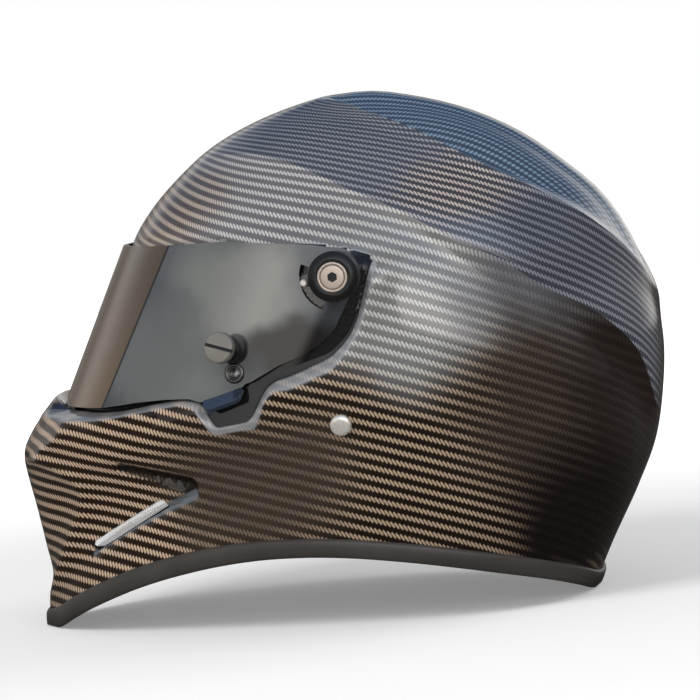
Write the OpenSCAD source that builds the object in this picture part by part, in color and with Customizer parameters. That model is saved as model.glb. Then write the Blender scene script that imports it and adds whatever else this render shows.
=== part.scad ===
// Full-face racing helmet with a hinged wrap-round visor.
// The wearer looks along -Y, +X is the wearer's left and +Z is up.
// The origin is on the surface the helmet stands on, under the middle of the shell.

/* [Shell] */
// Length of the shell from the chin tip to the back
shell_len = 347; // [335:1:360]
// Width of the shell across the ears
shell_w = 249; // [243:1:257]
// Height of the crown above the surface the helmet stands on
shell_h = 270.4; // [262:0.2:280]
// Thickness of the laminate
shell_wall = 3; // [2.4:0.1:3.6]
// Height of the ridge that runs over the crown
crest_h = 2.4; // [1:0.2:4]
// Depth of the hollow under the long side ledge
ledge_depth = 7; // [3:0.5:9]

/* [Edge trim] */
// Height of the rubber channel on the lower edge
trim_h = 9.5; // [8:0.5:12]
// Thickness of the rubber on each side of the laminate
trim_wall = 2.2; // [1.6:0.1:3]

/* [Visor] */
// Thickness of the visor sheet
visor_thick = 2.5; // [2:0.1:3]
// How far the visor stands outside the shell at the pivots
visor_stand = 1.5; // [1.2:0.1:2.5]
// Backward lean of the visor, on a shell 347 long and 270.4 high
visor_slant = 25.75; // [24:0.25:27.5]
// Height of the visor's lower front edge, on a shell 270.4 high
visor_low = 118.5; // [118:0.5:120]
// Height of the visor's upper front edge, on a shell 270.4 high
visor_top = 201; // [196:1:203]
// How far the visor opens
visor_open = 46; // [30:1:48]
// Gap between the visor and the shell behind it
visor_gap = 1.7; // [1.6:0.1:2.2]
// Length of the lift tab along the visor's edge
tab_len = 24; // [18:1:28]
// How far the lift tab reaches out
tab_reach = 9; // [7:0.5:11]

/* [Pivots] */
// Distance of the pivots behind the middle, on a shell 347 long
pivot_back = 14; // [12:0.5:16]
// Height of the pivots, on a shell 270.4 high
pivot_up = 180; // [178:0.5:183]
// Diameter of the black pivot cap
cap_d = 25.3; // [23:0.1:26]
// Thickness of the pivot cap
cap_t = 7.6; // [7:0.2:9]
// Diameter of the pivot screw's head
head_d = 12; // [11:0.2:12.6]
// Diameter of the pivot screw's shank
screw_d = 5; // [4:0.5:6]
// Hexagon socket of the pivot screw, across its flats
socket_af = 4.6; // [4:0.1:5]
// Diameter of the bush that the visor turns on
bush_d = 10; // [9:0.2:11]
// Distance of the detent pin from the pivot
detent_r = 15.6; // [15.4:0.1:17]
// Diameter of the detent pin
detent_d = 3.6; // [3:0.1:4]

/* [Visor hardware] */
// Diameter of the slotted grip screw
knob_d = 16; // [14:0.5:18]
// How far the grip screw's head stands off the visor
knob_stand = 7.5; // [6:0.5:10]
// Diameter of the locking eyelet in the visor
eyelet_d = 10.4; // [9.4:0.1:11]

/* [Chin] */
// Length of each chin vent slot
vent_len = 60; // [50:1:62]
// Width of each chin vent slot
vent_w = 5; // [4:0.2:6]

/* [Strap] */
// Diameter of the strap rivet's head
rivet_d = 10.8; // [9.6:0.2:12]
// Width of the strap webbing
strap_w = 22; // [20:1:25]
// Thickness of the strap webbing
strap_t = 2; // [1.6:0.1:2.4]
// Diameter of the wire of the two D-rings
ring_wire = 3.2; // [2.8:0.1:3.6]

/* [Lining] */
// Half width of the head space
head_half_w = 77; // [74:1:79]
// Thickness of the comfort pad under the crown
crown_pad_t = 9; // [7:0.5:11]
// Thickness of the foam in the chin bar
chin_foam_t = 16; // [12:1:20]

/* [Hidden] */

// The middle of the head, from which the shell is measured outward
mid_y = 10;
mid_z = 110;
k_len = shell_len / 347;
k_w = shell_w / 249;
k_h = shell_h / 270.4;
pivot_y = pivot_back * k_len;
pivot_z = pivot_up * k_h;
visor_lean = atan(tan(visor_slant) * k_len / k_h);
// A place seen from the side, as y and z, moved with the shell's size
function sized(p) = [p[0] * k_len, p[1] * k_h];

// Middle outline of the front, from the chin's lower edge to the crown, as y and z
front_points = [
    [-165, -8], [-165.3, 10], [-164.4, 22], [-167.4, 45], [-170.6, 66], [-173, 82], [-173.4, 90.5],
    [-172.2, 96.5], [-167.9, 104], [-160.6, 113.5], [-157.5, 117.5], [-145, 120.5], [-129, 130],
    [-119, 150], [-109, 180], [-101.8, 204], [-91.8, 218.4], [-77.2, 233.2], [-57.7, 247.8],
    [-34.5, 258.8], [-15, 265], [10, 269.8]
];
// Middle outline of the back, from the nape's lower edge to the crown, as y and z
rear_points = [
    [122, -8], [127, 2], [136, 20], [153, 51], [164, 75], [169.5, 99], [172, 131], [168, 156], [160, 181],
    [146, 206], [128, 224], [104, 243], [77.5, 257], [50, 266], [30, 270], [10, 269.8]
];
// Outline across the ears, as x and z
side_points = [
    [89, -8], [97, 10], [104, 40], [112, 70], [118, 100], [123, 125], [124.5, 150], [122.5, 180], [113, 205],
    [97.5, 225], [76, 243], [53, 256], [30.5, 265], [12, 269], [0, 269.8]
];
// How square the front is in plan, by elevation: 2 is an ellipse
front_square = [[-40, 1.9], [-9, 1.9], [0, 2.4], [8, 2.5], [30, 2.3], [42, 2.1], [90, 2]];
rear_square = [[-40, 2.15], [50, 2.15], [78, 2], [90, 2]];

// A smooth curve through points whose first value rises
function slope(p, i) =
    i == 0 ? (p[1][1] - p[0][1]) / (p[1][0] - p[0][0]) :
    i == len(p) - 1 ? (p[i][1] - p[i - 1][1]) / (p[i][0] - p[i - 1][0]) :
    let (a = p[i][0] - p[i - 1][0], b = p[i + 1][0] - p[i][0],
         u = (p[i][1] - p[i - 1][1]) / a, v = (p[i + 1][1] - p[i][1]) / b)
    (u * b + v * a) / (a + b);
function piece(p, x, i = 0) = i >= len(p) - 2 || x < p[i + 1][0] ? i : piece(p, x, i + 1);
function curve(p, x) =
    let (i = piece(p, x), h = p[i + 1][0] - p[i][0], t = max(0, min(1, (x - p[i][0]) / h)))
    p[i][1] * (1 + 2 * t) * pow(1 - t, 2) + slope(p, i) * h * t * pow(1 - t, 2)
        + p[i + 1][1] * t * t * (3 - 2 * t) + slope(p, i + 1) * h * t * t * (t - 1);
function table(p, step) =
    [for (x = [p[0][0] : step : p[len(p) - 1][0] + step / 2]) [x, curve(p, x)]];
function ease(a, b, x) = let (t = max(0, min(1, (x - a) / (b - a)))) t * t * (3 - 2 * t);
function mix(a, b, t) = a + (b - a) * t;

// Elevation and distance of an outline point, seen from the middle of the head
function polar(out, z) = [atan2(z - mid_z, out), norm([out, z - mid_z])];
// Direction angle in plan and elevation of a point on the shell
function bearing(p) =
    let (x = p[0] * k_w, y = p[1] * k_len - mid_y, z = p[2] * k_h - mid_z)
    [atan2(x, -y), atan2(z, norm([x, y]))];

front_tab = table([for (p = front_points) polar(mid_y - p[0] * k_len, p[1] * k_h)], 1);
rear_tab = table([for (p = rear_points) polar(p[0] * k_len - mid_y, p[1] * k_h)], 1);
side_tab = table([for (p = side_points) polar(p[0] * k_w, p[1] * k_h)], 1);

// The crown's ridge, from the middle of the front to the back
crest_tab = table([for (p = [
    [0, -20, 266], [25, 5, 266], [45, 26, 260], [63, 51, 248], [76, 81, 230], [73, 113, 211],
    [60, 137, 196], [42, 155, 179], [20, 167, 163], [0, 171, 152]]) bearing(p)], 2);
// The long side ledge, from the forehead to the back
ledge_tab = table([for (p = [
    [0, -66, 242], [31, -58, 244], [64, -29, 243], [84, -4, 235], [100, 23, 222], [107, 48, 209],
    [109, 68, 196], [105, 92, 183], [96, 116, 166], [77, 142, 149], [52, 162, 125], [30, 168, 99],
    [0, 170, 84]]) bearing(p)], 2);
ledge_share = [
    [0, 0], [25, 0.12], [60, 0.25], [97, 0.5], [118, 0.7], [140, 1], [152, 1], [163, 0.7], [180, 0]];
// The crease beside the chin's front panel, as elevation and plan angle
panel_tab = table([for (p = [
    [8, -164, 16], [23, -159, 27], [37, -152, 40], [47, -146, 51], [57, -138, 63], [62, -134, 71],
    [65, -133, 76], [65, -135, 83], [60, -141, 89], [48, -152, 96]])
    let (b = bearing(p)) [b[1], b[0]]], 1);
// The corner beside the chin's top panel, as elevation and plan angle
beak_tab = table([[-9, 4], [-7.5, 8], [-5.7, 14.3], [-3.9, 19.7], [-2.2, 24.2], [0.4, 27], [2, 28]], 0.5);

// The lip round the visor, from the front to behind the pivot, as x, y and z
lip_points = [
    [0, -152, 116.5], [50, -136, 117.5], [84, -101, 118], [97, -78, 121.5], [124, -2, 136.6],
    [124.5, 11, 143], [124.5, 22.5, 157], [122, 30.5, 180], [118, 37, 194], [100, 60, 212]
];
lip_tab = table(concat([for (p = lip_points) bearing(p)], [[180, 60]]), 1.5);
// The finger notch in the lip under the lift tab, as plan angle and how far it dips
notch_dip = [
    [0, 0], [54, 0], [57.5, 2.5], [59, 6.5], [60.4, 15], [61.6, 19.5], [69.2, 19.5], [70.8, 14],
    [72.2, 7.5], [74, 2], [76, 0], [180, 0]];

// The visor is a piece of a tube that leans back, so it is worked out in leaning coordinates
function lean_y(y, z) = y * cos(visor_lean) - z * sin(visor_lean);
visor_r = shell_w / 2 + visor_stand;
visor_front = sized([-148.6, visor_low]);
tube_y = lean_y(visor_front[0], visor_front[1]) + visor_r;
recess_r = visor_r - visor_thick - visor_gap;

// Distance from the middle of the head to the tube of radius r, in a direction
function tube_hit(phi, th, r) =
    let (dx = sin(phi) * cos(th), dy = lean_y(-cos(phi) * cos(th), sin(th)),
         a = max(0.001, dx * dx + dy * dy), c0 = lean_y(mid_y, mid_z) - tube_y, b = c0 * dy)
    (-b + sqrt(max(0, b * b - a * (c0 * c0 - r * r)))) / a;

function base_r(phi, th) =
    let (c = cos(phi), n = lookup(th, c > 0 ? front_square : rear_square),
         long = lookup(th, c > 0 ? front_tab : rear_tab))
    pow(pow(abs(sin(phi)) / lookup(th, side_tab), n) + pow(abs(c) / long, n), -1 / n);

// Height of a crease with feet of width w, its top rounded a little
function crease(d, w, top_round = 3) =
    pow(max(0, 1 - (sqrt(d * d + top_round * top_round) - top_round) / w), 2);
// Millimetres on the shell for a degree of elevation
mm_deg = 2.6;

function lip_th(a, left) = lookup(a, lip_tab) - (left ? lookup(a, notch_dip) / mm_deg : 0);
// How much longer a step along the lip is than its step in plan
function lip_slant(a, left) =
    let (step = 1.5, rise = (lip_th(a + step, left) - lip_th(a - step, left)) / (2 * step))
    sqrt(1 + rise * rise);
// Distance inside the lip, measured square to it
function inside_lip(a, th, left) = (th - lip_th(a, left)) * mm_deg / lip_slant(a, left);
// Width of the sloping lip, by plan angle, and of the floor's edge inside it
lip_width = [
    [0, 2.5], [14, 2.5], [26, 4], [60, 4.2], [73, 5], [79, 8.5], [89, 8.5], [95, 4], [180, 4]];
function lip_w(a) = lookup(a, lip_width);
lip_in = 0.5;

// Widths of the hollow under the ledge, the ridge's foot and the chin panel's foot
ledge_w = 13;
crest_w = 16;
panel_w = 20;
panel_rise = 3.4;
beak_w = 15;
beak_rise = 3;
sharp_top = 0.8;
valley_depth = 2.2;
scoop_depth = 4.2;
scoop_w = [5, 9];
groove_depth = 2.8;
groove_w = [2, 5];
lip_rise = 0.6;
lip_foot = 4;

// Distance of the shell's outer face from the middle of the head
function shell_r(phi, th) =
    let (a = abs(phi), left = phi > 0,
         over = (th - lookup(a, crest_tab)) * mm_deg,
         under = (lookup(a, ledge_tab) - th) * mm_deg,
         sweep = under > 0 ? under / ledge_w * exp(1 - under / ledge_w) : 0,
         spine = ease(10, 26, (90 - th) * mm_deg * sin(a)),
         valley = over > 0 ? ease(0, 12, over) * spine * ease(60, 110, a) * valley_depth : 0,
         facet = a < 40 && th < -5 ?
             panel_rise * crease((a - lookup(th, panel_tab)) * mm_deg, panel_w, sharp_top) : 0,
         beak = a < 45 && th > -14 && th < 12 ?
             beak_rise * crease((a - lookup(th, beak_tab)) * mm_deg, beak_w, sharp_top)
             * ease(4, 16, a) * ease(-13, -7, th) * (1 - ease(5, 12, th)) : 0,
         scoop = scoop_depth * dent(a, th, [87.9, -106.6, 88.7], [94.2, -71.8, 78.5], scoop_w),
         groove = groove_depth * dent(a, th, [54.2, -132.9, 42.1], [93.3, -69.9, 72.9], groove_w),
         r0 = base_r(a, th) + crest_h * crease(over, crest_w) * ease(30, 115, a) + facet + beak
             - valley - ledge_depth * lookup(a, ledge_share) * sweep - scoop - groove,
         d = inside_lip(a, th, left),
         fade = 1 - ease(26, 34, th) * ease(70, 95, a),
         d0 = inside_lip(a, th, false),
         near = exp(-pow(min(0, d0 + lip_foot) / 16, 2) - pow(max(0, d0 - 6) / 8, 2)),
         lipped = mix(r0, max(r0, tube_hit(a, th, visor_r + lip_rise)), near * fade),
         open_top = ease(36, 46, th) * 10,
         inner = min(lipped, tube_hit(a, th, recess_r + open_top)))
    th > 60 || a > 125 ? r0 : mix(lipped, inner, ease(-lip_w(a), lip_in, d) * (1 - ease(98, 110, a)));

// A hollow along a line between two points on the shell, whose width grows from w[0] to w[1]
function dent(a, th, p, q, w) =
    a > 60 || th > 0 ? 0 :
    let (b0 = bearing(p), b1 = bearing(q), v = b1 - b0, u = [a, th] - b0,
         t = max(0, min(1, (u * v) / (v * v))), d = norm(u - v * t) * mm_deg)
    1 - ease(0, mix(w[0], w[1], t), d);

// Point of the shell in a direction at a distance
function spot(phi, th, r) =
    [r * cos(th) * sin(phi), mid_y - r * cos(th) * cos(phi), mid_z + r * sin(th)];

// Height of the trim's underside round the helmet, as plan angle and height
rim_tab = table([
    [0, -0.8], [8, 0.5], [14, 6.5], [20, 13], [33, 25], [47, 33], [61, 37], [75, 37.5], [89, 35.5],
    [103, 31.5], [116, 26.5], [130, 20], [145, 12.5], [158, 5.5], [168, 0.8], [180, -0.8]], 2);
trim_gap = 0.4;
function edge_z(a) = lookup(a, rim_tab) + trim_wall + trim_gap;
// Elevation of the lower edge, found by stepping towards its height
function edge_th(a, z, i = 0, th = -30) =
    i == 6 ? th : edge_th(a, z, i + 1, atan2(z - mid_z, cos(th) * base_r(a, th)));

// Plan angles of the shell's columns, closer together beside the visor
half_cols = concat(
    [for (a = [0 : 4 : 40]) a], [for (a = [44.5 : 3.25 : 103]) a], [for (a = [108 : 7.2 : 180]) a]);
columns = concat(half_cols, [for (i = [len(half_cols) - 2 : -1 : 1]) -half_cols[i]]);

// Elevations that the shell's rows follow, from the lip to the line above the visor.
// Behind the visor they run on below the side ledge to the back.
port_end = 78;
lip_rear = [[92, 40], [97, 20], [110, 10], [125, -1], [140, -11], [180, -23]];
port_low = [
    [0, 3.9], [20, 4.4], [40, 7], [55, 10.5], [66, 13], [74, 15.5], [78, 18.5], [90, 20.5], [97, 25],
    [110, 17], [125, 5], [140, -5], [180, -18]
];
port_up = [
    [0, 32], [40, 32], [60, 31], [70, 29.5], [75, 27.5], [78, 25], [90, 29], [97, 31], [110, 25],
    [125, 12], [140, 2], [180, -14]
];
top_line = [
    [0, 38], [50, 38], [74, 37], [90, 36], [97, 36], [110, 32], [118, 26], [128, 19], [138, 11],
    [150, 4], [161, -3], [180, -11]
];
function lip_guide(a, left) =
    min(lip_th(a, left), lookup(a, lip_rear)) - lip_w(a) / mm_deg * min(2, lip_slant(a, left));
function floor_guide(a, left) =
    let (g = lip_guide(a, left)) min(g + (lip_w(a) + lip_in) / mm_deg * min(2, lip_slant(a, left)),
        mix(g, lookup(a, port_low), 0.7));

chin_share = [0, 0.18, 0.36, 0.53, 0.68, 0.81, 0.92];
lip_share = [0, 0.25, 0.5, 0.75];
recess_share = [0, 0.5];
hole_share = [0, 0.25, 0.5, 0.75];
brow_share = [0, 0.5];
side_share = [0, 0.3, 0.6, 0.86];
roof_share = [0, 0.2, 0.4, 0.6, 0.82];
crown_share = [0, 0.1, 0.2, 0.32, 0.45, 0.6, 0.75, 0.9];
lip_row = len(chin_share);
floor_row = lip_row + len(lip_share);
hole_row = floor_row + len(recess_share);
brow_row = hole_row + len(hole_share);

function row_angles(phi) =
    let (a = abs(phi), left = phi > 0, e = [edge_th(a, edge_z(a)), lip_guide(a, left),
            floor_guide(a, left), lookup(a, port_low), lookup(a, port_up), lookup(a, top_line),
            lookup(a, ledge_tab), lookup(a, crest_tab), 90],
         shares = [chin_share, lip_share, recess_share, hole_share, brow_share, side_share, roof_share,
            crown_share])
    [for (k = [0 : 7], s = shares[k]) mix(e[k], e[k + 1], s)];

// The two triangles of a four-cornered cell, split along its shorter diagonal
function cell(p, a, b, c, d) =
    norm(p[b] - p[c]) < norm(p[a] - p[d]) ? [[a, c, b], [b, c, d]] : [[a, c, d], [a, d, b]];
// The same cell on the face s points further on, turned over
function cell_back(p, a, b, c, d, s) = [for (t = cell(p, a, b, c, d)) [t[0] + s, t[2] + s, t[1] + s]];

// A closed shell between two faces given as rows of points, with a pole on top.
// hole is [first row, end row, columns on each side of the front] of an opening, or empty.
function ring_at(k, n) = (k + n) % n;
function in_hole(i, j, n, hole) =
    len(hole) > 0 && i >= hole[0] && i < hole[1] && (j < hole[2] || j >= n - hole[2]);
module dome(outer, inner, out_top, in_top, hole = []) {
    m = len(outer);
    n = len(outer[0]);
    s = m * n;
    points = concat([for (r = outer) each r], [for (r = inner) each r], [out_top, in_top]);
    faces = concat(
        [for (i = [0 : m - 2], j = [0 : n - 1]) if (!in_hole(i, j, n, hole))
            let (k = ring_at(j + 1, n), a = i * n + j, b = i * n + k)
            each concat(cell(points, a, b, a + n, b + n), cell_back(points, a, b, a + n, b + n, s))],
        [for (j = [0 : n - 1]) let (k = ring_at(j + 1, n), t = (m - 1) * n)
            each [[t + j, 2 * s, t + k], [s + t + j, s + t + k, 2 * s + 1]]],
        [for (j = [0 : n - 1]) if (!in_hole(0, j, n, hole)) let (k = ring_at(j + 1, n))
            each [[j, k, s + j], [k, s + k, s + j]]],
        len(hole) == 0 ? [] : concat(
            [for (j = [0 : n - 1]) if (hole[0] > 0 && in_hole(hole[0], j, n, hole))
                let (a = hole[0] * n + j, b = hole[0] * n + ring_at(j + 1, n))
                each [[b, a, a + s], [b, a + s, b + s]]],
            [for (j = [0 : n - 1]) if (in_hole(hole[0], j, n, hole))
                let (a = hole[1] * n + j, b = hole[1] * n + ring_at(j + 1, n))
                each [[a, b, b + s], [a, b + s, a + s]]],
            [for (i = [hole[0] : hole[1] - 1], e = [hole[2], n - hole[2]])
                let (a = i * n + e, b = a + n)
                each e == hole[2] ? [[b, a, a + s], [b, a + s, b + s]] :
                    [[a, b, b + s], [a, b + s, a + s]]]));
    polyhedron(points, faces, convexity = 10);
}

function shell_rows() =
    let (angles = [for (phi = columns) row_angles(phi)])
    [for (i = [0 : len(angles[0]) - 1]) [for (j = [0 : len(columns) - 1])
        let (phi = columns[j], th = angles[j][i]) [phi, th, shell_r(phi, th)]]];
// Distances of the inner face. Low down it is one wall in, square to the outer face,
// and above that one wall inside the lowest neighbouring point outside.
function inner_rows(rows) =
    let (m = len(rows), n = len(rows[0]))
    [for (i = [0 : m - 1]) [for (j = [0 : n - 1])
        let (v = rows[i][j], p = rows[max(0, i - 1)][j], q = rows[min(m - 1, i + 1)][j],
             rise = (q[2] - p[2]) / (v[2] * (q[1] - p[1]) * PI / 180))
        [v[0], v[1], v[1] < -8 ? v[2] - shell_wall * sqrt(1 + rise * rise) :
            min([for (di = [-1 : 1], dj = [-1 : 1])
                rows[max(0, min(m - 1, i + di))][ring_at(j + dj, n)][2]]) - shell_wall]]];
function spots(rows) = [for (r = rows) [for (v = r) spot(v[0], v[1], v[2])]];
// Height of the chin's lip above the visor's lower front edge, and its backward slope
beak_up = 4.6;
beak_slope = 0.9;
// Gap between the lip and the visor, the slope of the lip's inner face and the chamfer of its top
beak_gap = 1.5;
beak_inner_slope = 0.42;
beak_chamfer = 0.3;
// How far the lip's inner face runs down below the visor's edge
beak_root = 0.9;
// Plan angles over which the lip fades out
beak_fade = [6, 19];
visor_low_th = atan2(visor_front[1] - mid_z, mid_y - visor_front[0]);
// The outer face with the lip of the chin raised in front of the visor, clear of the visor's way up
function beaked(rows) =
    let (p = spots(rows), tip = visor_front[1] + beak_up)
    [for (i = [0 : len(p) - 1]) [for (j = [0 : len(p[0]) - 1])
        let (a = rows[lip_row][j][0], share = 1 - ease(beak_fade[0], beak_fade[1], abs(a)),
             foot = p[lip_row][j], rho = norm([foot[0], foot[1] - mid_y]), rise = tip - foot[2],
             k = i - lip_row, near = tube_hit(a, visor_low_th, visor_r) + beak_gap,
             r = [rho, rho - beak_slope * rise, near + beak_inner_slope * beak_up, near][k],
             z = [foot[2], tip, tip - beak_chamfer, visor_front[1] - beak_root][k])
        k < 1 || k > 3 || share == 0 ? p[i][j] :
            mix(p[i][j], [r * sin(a), mid_y - r * cos(a), z], share)]];
port_cols = len([for (c = half_cols) if (c <= port_end) c]) - 1;

// Places something on the wearer's left, or mirrored on the right
module on_side(left) mirror([left ? 0 : 1, 0, 0]) children();

module outer_shell() {
    rows = shell_rows();
    top = shell_r(180, 90);
    color([0.13, 0.12, 0.11])
        difference() {
            resize([0, 0, 0])
                difference() {
                    dome(beaked(rows), spots(inner_rows(rows)), spot(0, 90, top),
                        spot(0, 90, top - shell_wall), [hole_row, brow_row, port_cols]);
                    for (left = [true, false]) on_side(left) {
                        vent_slot(vent_w, 30);
                        at_rivet() cylinder(h = 30, d = rivet_shank + 0.5, center = true, $fn = 24);
                    }
                    on_visor(eyelet_at[0], eyelet_at[1])
                        cylinder(h = 60, d = post_d + 0.4, center = true, $fn = 24);
                }
            translate([0, pivot_y, pivot_z]) rotate([0, 90, 0])
                cylinder(h = shell_w + 60, d = screw_d + 0.4, center = true, $fn = 48);
            for (left = [true, false]) on_side(left)
                at_pivot(recess_x - shell_wall - seat_depth) cylinder(h = seat_depth, d = seat_d, $fn = 48);
        }
}

// Rubber channel over the shell's lower edge, cut flat where the helmet stands
module edge_trim() {
    rows = shell_rows();
    inner = inner_rows(rows);
    n = len(columns);
    rings = [for (j = [0 : n - 1])
        let (phi = columns[j], th = rows[0][j][1], out = rows[0][j][2],
             in = min(inner[0][j][2], inner[1][j][2]) - trim_gap,
             deg = 57.3 / out, up = th + (trim_h - trim_wall) * deg, slot = th - trim_gap * deg,
             low = slot - trim_wall * deg, next = rows[1][j],
             face = max(shell_r(phi, up), mix(out, next[2], (up - th) / (next[1] - th))))
        [spot(phi, up, face + trim_gap + trim_wall), spot(phi, low + 0.3, out + trim_gap + trim_wall),
            spot(phi, low, out + trim_gap), spot(phi, low, in), spot(phi, low + 0.3, in - trim_wall),
            spot(phi, up, in - trim_wall), spot(phi, up, in), spot(phi, slot, in),
            spot(phi, slot, out + trim_gap), spot(phi, up, face + trim_gap)]];
    color([0.05, 0.05, 0.05])
        difference() {
            loop_solid(rings);
            translate([0, 0, -10]) cube([400, 400, 20], center = true);
        }
}

// A closed ring swept through cross-sections that each list the same points
module loop_solid(rings) {
    n = len(rings);
    m = len(rings[0]);
    polyhedron([for (r = rings) each r],
        [for (j = [0 : n - 1], k = [0 : m - 1])
            let (a = j * m + k, b = j * m + ring_at(k + 1, m), c = ring_at(j + 1, n) * m + k,
                 d = ring_at(j + 1, n) * m + ring_at(k + 1, m))
            each [[a, c, b], [b, c, d]]], convexity = 10);
}

// Plan angles and elevations round the edge of the eye port, with the way into the port
function port_edge() =
    let (angles = [for (phi = columns) row_angles(phi)], n = len(columns), c = port_cols,
         left_down = [for (i = [brow_row : -1 : hole_row]) [columns[c], angles[c][i], -1, 0]],
         right_up = [for (i = [hole_row : brow_row]) [columns[n - c], angles[n - c][i], 1, 0]])
    concat(
        [for (k = [-c + 1 : c - 1]) let (j = ring_at(k, n)) [columns[j], angles[j][brow_row], 0, -1]],
        left_down,
        [for (k = [c - 1 : -1 : -c + 1]) let (j = ring_at(k, n)) [columns[j], angles[j][hole_row], 0, 1]],
        right_up);
gasket_w = 4;
gasket_gap = 0.35;

// Soft seal round the eye port, standing forward to just behind the visor
module eyeport_gasket() {
    edge = port_edge();
    n = len(edge);
    rings = [for (j = [0 : n - 1])
        let (e = edge[j], p = edge[ring_at(j - 1, n)], q = edge[ring_at(j + 1, n)],
             v = [q[0] - p[0], q[1] - p[1]], u = [v[1], -v[0]] / max(0.01, norm(v)),
             near = [e[0], e[1]] + u * gasket_gap / 2.2, far = [e[0], e[1]] + u * gasket_w / 2.2,
             back = min(shell_r(e[0], e[1]), tube_hit(e[0], e[1], recess_r)) - shell_wall - 2)
        [for (s = [[near, 0], [mix(near, far, 0.5), 1], [far, 0]])
            spot(s[0][0], s[0][1], tube_hit(s[0][0], s[0][1], visor_r - visor_thick - gasket_gap)
                - (1 - s[1]) * 0.8),
            spot(far[0], far[1], back), spot(near[0], near[1], back)]];
    color([0.06, 0.06, 0.06]) loop_solid(rings);
}

// Stands things on the visor's tube: y and z say where, and +Z of what is placed points outward
module on_visor(y, z) {
    a = asin((tube_y - lean_y(y, z)) / visor_r);
    rotate([-visor_lean, 0, 0])
        translate([0, tube_y, y * sin(visor_lean) + z * cos(visor_lean)])
            rotate([0, 0, -a])
                translate([visor_r, 0, 0])
                    rotate([0, 90, 0])
                        children();
}
// A tube shaped like the visor, between two radii
module visor_tube(r_out, r_in)
    rotate([-visor_lean, 0, 0])
        translate([0, tube_y, 0])
            difference() {
                cylinder(h = 400, r = r_out, $fn = 180);
                translate([0, 0, -1]) cylinder(h = 402, r = r_in, $fn = 180);
            }
// A side outline, given as y and z, drawn out across the helmet from x0 to x1
module across(x0, x1, points)
    translate([x0, 0, 0])
        rotate([90, 0, 90])
            linear_extrude(x1 - x0)
                polygon(points);
// Stands things at the left pivot, with +Z outward, +X down and +Y to the rear
module at_pivot(x) translate([x, pivot_y, pivot_z]) rotate([0, 90, 0]) children();

pivot_off = lean_y(pivot_y, pivot_z) - tube_y;
pivot_x = sqrt(visor_r * visor_r - pivot_off * pivot_off);
recess_x = sqrt(recess_r * recess_r - pivot_off * pivot_off);
seat_gap = 0.3;
// Turn of the detent pin round the pivot, measured up from straight ahead
pin_turn = -8;
slot_start = 24;
slot_end = -(visor_open + 12) + pin_turn;

rivet_at = sized([10.3, 104.9]);
rivet_shank = 4.8;
rivet_tilt = 10;
function rivet_bearing() =
    let (x = shell_w / 2) [atan2(x, mid_y - rivet_at[0]), atan2(rivet_at[1] - mid_z, x)];
rivet_spot = let (b = rivet_bearing()) spot(b[0], b[1], base_r(b[0], b[1]));
// Stands things on the shell at the left strap rivet, with +Z outward
module at_rivet() {
    translate(rivet_spot) rotate([0, 90 + rivet_tilt, 0]) children();
}

// The chin vent's middle, and the way its long axis and its face point
vent_mid = [31.2, -20.6];
module at_vent() {
    r = base_r(vent_mid[0], vent_mid[1]);
    translate(spot(vent_mid[0], vent_mid[1], r))
        rotate([0, 0, 54.3]) rotate([90, 0, 0]) rotate([0, 0, 23.8]) children();
}
// Slot with round ends, cut through the chin
module vent_slot(w, depth, extra = 0)
    at_vent()
        linear_extrude(depth, center = true)
            for (x = [-1, 1])
                hull() {
                    translate([x * (vent_len - w) / 2, 0]) circle(d = w + extra, $fn = 24);
                    circle(d = w + extra, $fn = 24);
                }

visor_end_r = 13.4;
tab_at = sized([-48, 124.6]);
// Turn of the tab's root, which follows the lug's lower edge, and how far the tab leans out
tab_turn = 40;
tab_lean = 42;
// Side outline of the visor, from the upper front edge to the lower front edge
function visor_outline() =
    let (z1 = visor_top, z0 = visor_low)
    concat(
        [for (p = [[-170, z1 - 2], [-44, z1], [-22.7, z1 - 1.9], [-6, z1 - 3.6], [2, z1 - 4.6]]) sized(p)],
        [for (a = [75 : -15 : -60]) [pivot_y + visor_end_r * cos(a), pivot_z + 1 + visor_end_r * sin(a)]],
        [for (p = [[12, 153.5], [5, 147.5], [-4, 142], [-18, 137.5], [-33.3, 130], [-66, 126.2],
            [-77.5, 123.8], [-95, z0 + 4], [-117, z0 + 1.2], [-170, z0]]) sized(p)]);
// The lug of the lift tab, below that outline on the left
tab_lug = [for (p = [[-26, 141], [-37, 128], [-60, 121.5], [-66, 123.6], [-90, 123.7], [-80, 141]])
    sized(p)];

knob_at = sized([-43.4, 147.6]);
eyelet_at = sized([-40.8, 135.2]);
eyelet_bore = 4.2;

// Wrap-round visor with its pivot holes, detent slots and lift tab
module visor_lens() {
    color([0.33, 0.33, 0.35])
        difference() {
            union() {
                intersection() {
                    visor_tube(visor_r, visor_r - visor_thick);
                    union() {
                        across(-160, 160, visor_outline());
                        across(60, 160, tab_lug);
                    }
                }
                lift_tab();
            }
            translate([0, pivot_y, pivot_z]) rotate([0, 90, 0])
                cylinder(h = shell_w + 60, d = bush_d + 0.3, center = true, $fn = 64);
            for (left = [true, false]) on_side(left) detent_slot();
            on_visor(knob_at[0], knob_at[1])
                cylinder(h = 20, d = knob_shank + 0.2, center = true, $fn = 32);
            on_visor(knob_at[0], knob_at[1])
                translate([0, 0, nut_sink - visor_thick - 10]) cylinder(h = 10, d = nut_d + 0.3, $fn = 48);
            on_visor(eyelet_at[0], eyelet_at[1])
                cylinder(h = 20, d = eyelet_d - 2.4, center = true, $fn = 40);
        }
}
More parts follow.
